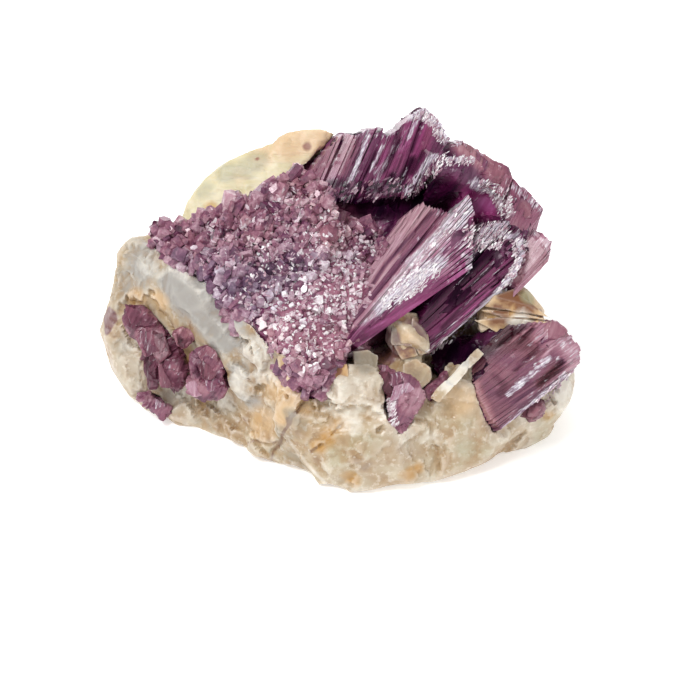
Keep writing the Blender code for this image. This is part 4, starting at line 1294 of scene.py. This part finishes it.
def crust_spots(spacing, sizes, seed, shade, varied):
    """Spots for crystals over the crust, coloured by the zones they lie in."""
    rng = random.Random(seed)
    spots = []
    found = scattered(mass, spacing, seed, on_crust)
    columns, rows = view_of([place for place, _ in found])
    for (place, normal), column, row in zip(found, columns, rows):
        pale = zone(column, row, PALE_ZONES)
        axis = BOOK_LEAN + Vector([rng.gauss(0, 0.35 + 0.4 * pale) for _ in range(3)])
        size = rng.uniform(*sizes) * (1.3 - 0.6 * pale)
        own = (shade + 0.26 * pale - 0.2 * zone(column, row, DARK_AND_SHADED_ZONES)
               + rng.gauss(0, varied * (0.7 + 0.5 * pale)))
        rosy = zone(column, row, ROSY_ZONES) * rng.uniform(0.3, 1.3) + 0.15 * rng.random()
        cool = zone(column, row, COOL_ZONES) * rng.uniform(0.2, 1.3) + 0.3 * (rng.random() < 0.1)
        at = (Vector(place) + Vector(normal) * rng.uniform(-0.6, 0.3)) * MM
        spots.append((at, (size * rng.uniform(0.6, 1.2), size * rng.uniform(0.4, 1.0),
                           size * rng.uniform(0.4, 1.4 - 0.6 * pale)), turned(axis, rng), own,
                      min(1.0, rosy), min(1.0, cool)))
    return spots


blocks = crystals("mica_blocks", crust_spots(1.0, (1.2, 2.4), 71, 0.5, 0.13))
crumbs = crystals("mica_crumbs", crust_spots(0.62, (0.5, 1.2), 73, 0.55, 0.16))

# %% [markdown]
# ### Frayed flakes
# Where laminae end they fray into a silvery crust, and the lower right of the slab is strewn with
# pale loose scales, whose whiteness also stands for painted glints. The same crystal, flattened,
# is dropped along lines of sight inside an outline of the view, onto what is already dressed, so
# each streak lies where it should.


# %% Flakes
# An area is its outline in the view, how many scales, their sizes in mm, their shade and how far
# that varies.
SLAB_AREAS = [
    ([(233, 298), (262, 245), (330, 208), (376, 248), (350, 330), (320, 372), (305, 374),
     (290, 345)], 700, (0.3, 0.9), (0.8, 0.14)),
    ([(185, 235), (300, 182), (330, 215), (262, 265), (200, 270)], 300, (0.4, 1.1), (0.6, 0.14)),
]
FRAY_AREAS = [
    ([(378, 302), (400, 278), (425, 262), (443, 260), (440, 276), (415, 296),
     (386, 310)], 300, (0.2, 0.5), (0.92, 0.03)),
    ([(400, 276), (464, 198), (472, 208), (412, 276)], 60, (0.3, 0.8), (0.82, 0.1)),
    ([(462, 228), (500, 220), (512, 232), (498, 250), (470, 250)], 360, (0.2, 0.6), (0.76, 0.14)),
    ([(384, 399), (391, 398), (397, 412), (399, 426), (393, 426), (387, 412)], 80, (0.3, 0.7),
     (0.88, 0.06)),
    ([(440, 157), (472, 156), (474, 164), (446, 166)], 100, (0.2, 0.55), (0.8, 0.16)),
    ([(474, 182), (484, 180), (510, 190), (514, 216), (502, 220), (496, 206),
     (488, 192)], 300, (0.2, 0.6), (0.76, 0.2)),
    ([(448, 152), (440, 172), (420, 194), (406, 200), (416, 186), (436, 158)], 160, (0.2, 0.6),
     (0.72, 0.18)),
    ([(412, 120), (424, 108), (438, 120), (450, 141), (440, 144), (426, 122)], 180, (0.2, 0.55),
     (0.76, 0.16)),
    ([(510, 240), (520, 238), (528, 242), (524, 264), (502, 297), (496, 290),
     (514, 262)], 120, (0.25, 0.7), (0.84, 0.12)),
    ([(424, 350), (461, 328), (476, 312), (480, 318), (462, 335), (430, 356)], 90, (0.25, 0.6),
     (0.84, 0.12)),
    ([(520, 412), (540, 397), (566, 372), (570, 376), (546, 403), (524, 418)], 70, (0.25, 0.6),
     (0.84, 0.1)),
    ([(326, 186), (346, 180), (412, 178), (430, 168), (434, 178), (412, 196), (362, 200),
     (338, 200)], 200, (0.3, 1), (0.24, 0.2)),
]
BLADE_TOP, BLADE_FOOT = shown([(468, 194, 37.6), (344, 345, 22.6)])
BLADE_RUN = (BLADE_TOP - BLADE_FOOT).normalized()


def flakes(name, areas, seed, stretch, spin):
    """Thin scales, this much longer than wide, that lie along the blades give or take a spin."""
    rng = random.Random(seed)
    dressed = surface_of([mass, crest, lilac, dark, east, rim, right, right_mass, blocks, crumbs,
                          facets["front"], small["front_crystal"], rock])
    spots = []
    for outline, count, (least, most), (shade, varied) in areas:
        columns, rows = zip(*outline)
        placed_so_far = 0
        while placed_so_far < count:
            column, row = rng.uniform(min(columns), max(columns)), rng.uniform(min(rows), max(rows))
            if not inside(column, row, outline):
                continue
            placed_so_far += 1
            hit, normal, _, _ = dressed.ray_cast(EYE, sight(column, row))
            if hit is None:
                continue
            size = rng.uniform(least, most)
            axis = (normal + Vector([rng.gauss(0, 0.22) for _ in range(3)])).normalized()
            length = (BLADE_RUN - axis * BLADE_RUN.dot(axis)).normalized()
            lying = Matrix((length, axis.cross(length), axis)).transposed()
            turn = lying @ Matrix.Rotation(rng.uniform(-spin, spin), 3, "Z")
            spots.append((hit, (size * stretch, size * rng.uniform(0.3, 0.8), size * 0.12), turn,
                          shade + rng.gauss(0, varied), 0.2 * rng.random(), 0.3 * rng.random()))
    return crystals(name, spots)


flakes("slab_scales", SLAB_AREAS, 91, 1.3, 3.1)
flakes("mica_scales", FRAY_AREAS, 92, 2.2, 0.35)

# %% [markdown]
# ### Cleavage blocks of feldspar
# Between the books sit a few blocks and blades of feldspar with truly flat faces. Each is the
# tight skin round a handful of corners, as a block that split along its cleavage, set into
# the rock behind it.


# %% Blocks and blades of feldspar
IN_FRONT = 0.7  # mm that a block comes towards the eye from the corners given here
# How far each group runs back in mm, the corners of its stones, as column, row and height in mm,
# and its stains.
CLEAVED = {
    "cleavage_blocks": (
        3.5,
        [[(404, 312, 24.2), (417, 313, 23.8), (410, 330, 22.2), (392, 324, 22.8), (391, 346, 20.2),
          (412, 346, 20.4)],
         [(412, 318, 23.6), (418, 314, 23.4), (427, 336, 21.2), (429, 353, 19), (420, 356, 18.8),
          (411, 338, 21.2)],
         [(393, 344, 20.4), (414, 346, 20.2), (418, 356, 18.8), (402, 360, 18.4)],
         [(402, 364, 18.4), (415, 358, 19), (430, 366, 18.2), (432, 380, 16.2), (417, 393, 14.8),
          (404, 384, 16)],
         [(353, 352, 20.6), (368, 350, 20.8), (378, 355, 20.2), (376, 372, 18.8),
          (356, 378, 18.4)],
         [(331, 367, 20.3), (347, 363, 20.6), (350, 380, 19), (334, 384, 18.4)]],
        {
            "peach": [(408, 326, 2, 1), (420, 340, 2, 1), (404, 350, 2, 0.9),
             (416, 372, 2.4, 0.6)],
            "grey": [(365, 364, 3, 1.2), (396, 335, 2.4, 0.9), (418, 375, 2.4, 0.7),
             (416, 332, 3, 0.7)],
            "ochre": [(340, 373, 2.6, 2), (346, 370, 2, 2)],
            "plum": [(412, 332, 4, 0.45), (398, 345, 3, 0.5)],
            "rust": [(334, 368, 1.4, 1.6), (342, 378, 1.6, 0.45), (394, 350, 1.2, 1),
             (408, 334, 4, 0.6), (422, 340, 3, 0.5), (414, 372, 4, 0.3)],
        }),
    "white_bar": (
        1.8,
        [[(430, 398, 15.2), (439, 403, 14.8), (454, 386, 16.6), (447, 379, 17), (437, 388, 16.2)],
         [(445, 383, 16.7), (454, 387, 16.4), (468, 370, 17.9), (470, 359, 18.6),
          (460, 364, 18.2)],
         [(461, 366, 18.2), (469, 369, 17.8), (485, 354, 18.9), (478, 348, 19.6), (470, 354, 19)]],
        {
            "pale": [(440, 394, 3, 1.6), (450, 384, 3, 1.6), (460, 372, 3, 1.6),
             (474, 358, 3, 1.6)],
            "grey": [(466, 366, 1.4, 0.5)],
        }),
    "tan_blades": (
        2,
        [[(484, 306, 23.2), (494, 295, 24.8), (512, 289, 24.8), (551, 318, 21.8),
          (520, 310, 22.6)],
         [(510, 290, 24.8), (526, 290, 24.4), (531, 305, 22.8), (524, 304, 23.2)],
         [(480, 310, 22.6), (520, 311, 22.2), (550, 320, 21.2), (500, 317, 21.6)],
         [(474, 320, 21), (502, 317, 21.6), (553, 322, 20.6), (520, 326, 19.9), (498, 334, 18.9)]],
        {
            "peach": [(495, 303, 4, 2), (515, 300, 4, 1.6), (535, 314, 3, 2), (500, 322, 4, 1.4)],
            "ochre": [(490, 306, 1.6, 0.9), (508, 312, 1.4, 0.7), (516, 304, 2.4, 0.5)],
            "green": [(529, 298, 1.6, 1)],
            "rust": [(530, 318, 1.6, 0.8), (508, 298, 2.4, 0.8), (500, 314, 2.6, 0.9),
             (524, 308, 3, 0.7)],
            "pale": [(520, 324, 2.6, 0.8), (545, 321, 2, 0.8)],
        }),
}


def cleaved(name, sunk, stones, stains):
    """Flat-faced stones, each from the corners that show, running back into the rock."""
    made = []
    for corners in stones:
        corners = [p - (p - EYE).normalized() * IN_FRONT * MM for p in shown(corners)]
        stone = stone_of(name, corners, sunk + IN_FRONT)
        toned(stone, chip(stone, 2.4, 0.1, 6, len(made)))
        made.append(stone)
    piece = joined(made)
    patches(piece, {stain: stains.get(stain, []) for stain, *_ in STAINS})
    ridges_lit_creases_shaded(piece)
    return finished(piece, ALBITE)


for group, (sunk, stones, stains) in CLEAVED.items():
    cleaved(group, sunk, stones, stains)

# %% [markdown]
# ## Floor, light and picture
# A pale floor, one big soft light from above and the left, and weaker ones from the right and
# behind, as in a small light tent. Mica shows its faces by what they mirror, so the lights are
# wide.


# %% Floor and lights
# Each lamp's place in metres, how wide it is and its power.
LAMPS = {"key": ((-0.35, -0.25, 0.75), 0.4, 5.2), "fill": ((0.6, -0.5, 0.45), 0.6, 1.6),
         "back": ((0.1, 0.7, 0.5), 0.5, 2.0)}
bpy.ops.mesh.primitive_plane_add(size=6.0, location=(0, 0, 0))
floor = bpy.context.object
floor.name = "floor"
floor_paint, _, _ = new_material("floor_card", 0.9, 1.45, Base_Color=linear("#f7f7f7"),
                                 Emission_Color=linear("#ffffff"), Emission_Strength=0.35)
floor.data.materials.append(floor_paint)

for name, (place, size, power) in LAMPS.items():
    lamp = placed(name, bpy.data.lights.new(name, "AREA"))
    lamp.data.shape = "DISK"
    lamp.data.size = size
    lamp.data.energy = power
    lamp.location = place
    lamp.rotation_mode = "QUATERNION"
    lamp.rotation_quaternion = (Vector(place) - AIM).to_track_quat("Z", "Y")

world = bpy.data.worlds.new("tent")
world.use_nodes = True
background = world.node_tree.nodes["Background"]
background.inputs["Color"].default_value = (1, 1, 1, 1)
background.inputs["Strength"].default_value = 0.55
bpy.context.scene.world = world
bpy.context.scene.view_settings.view_transform = "Standard"
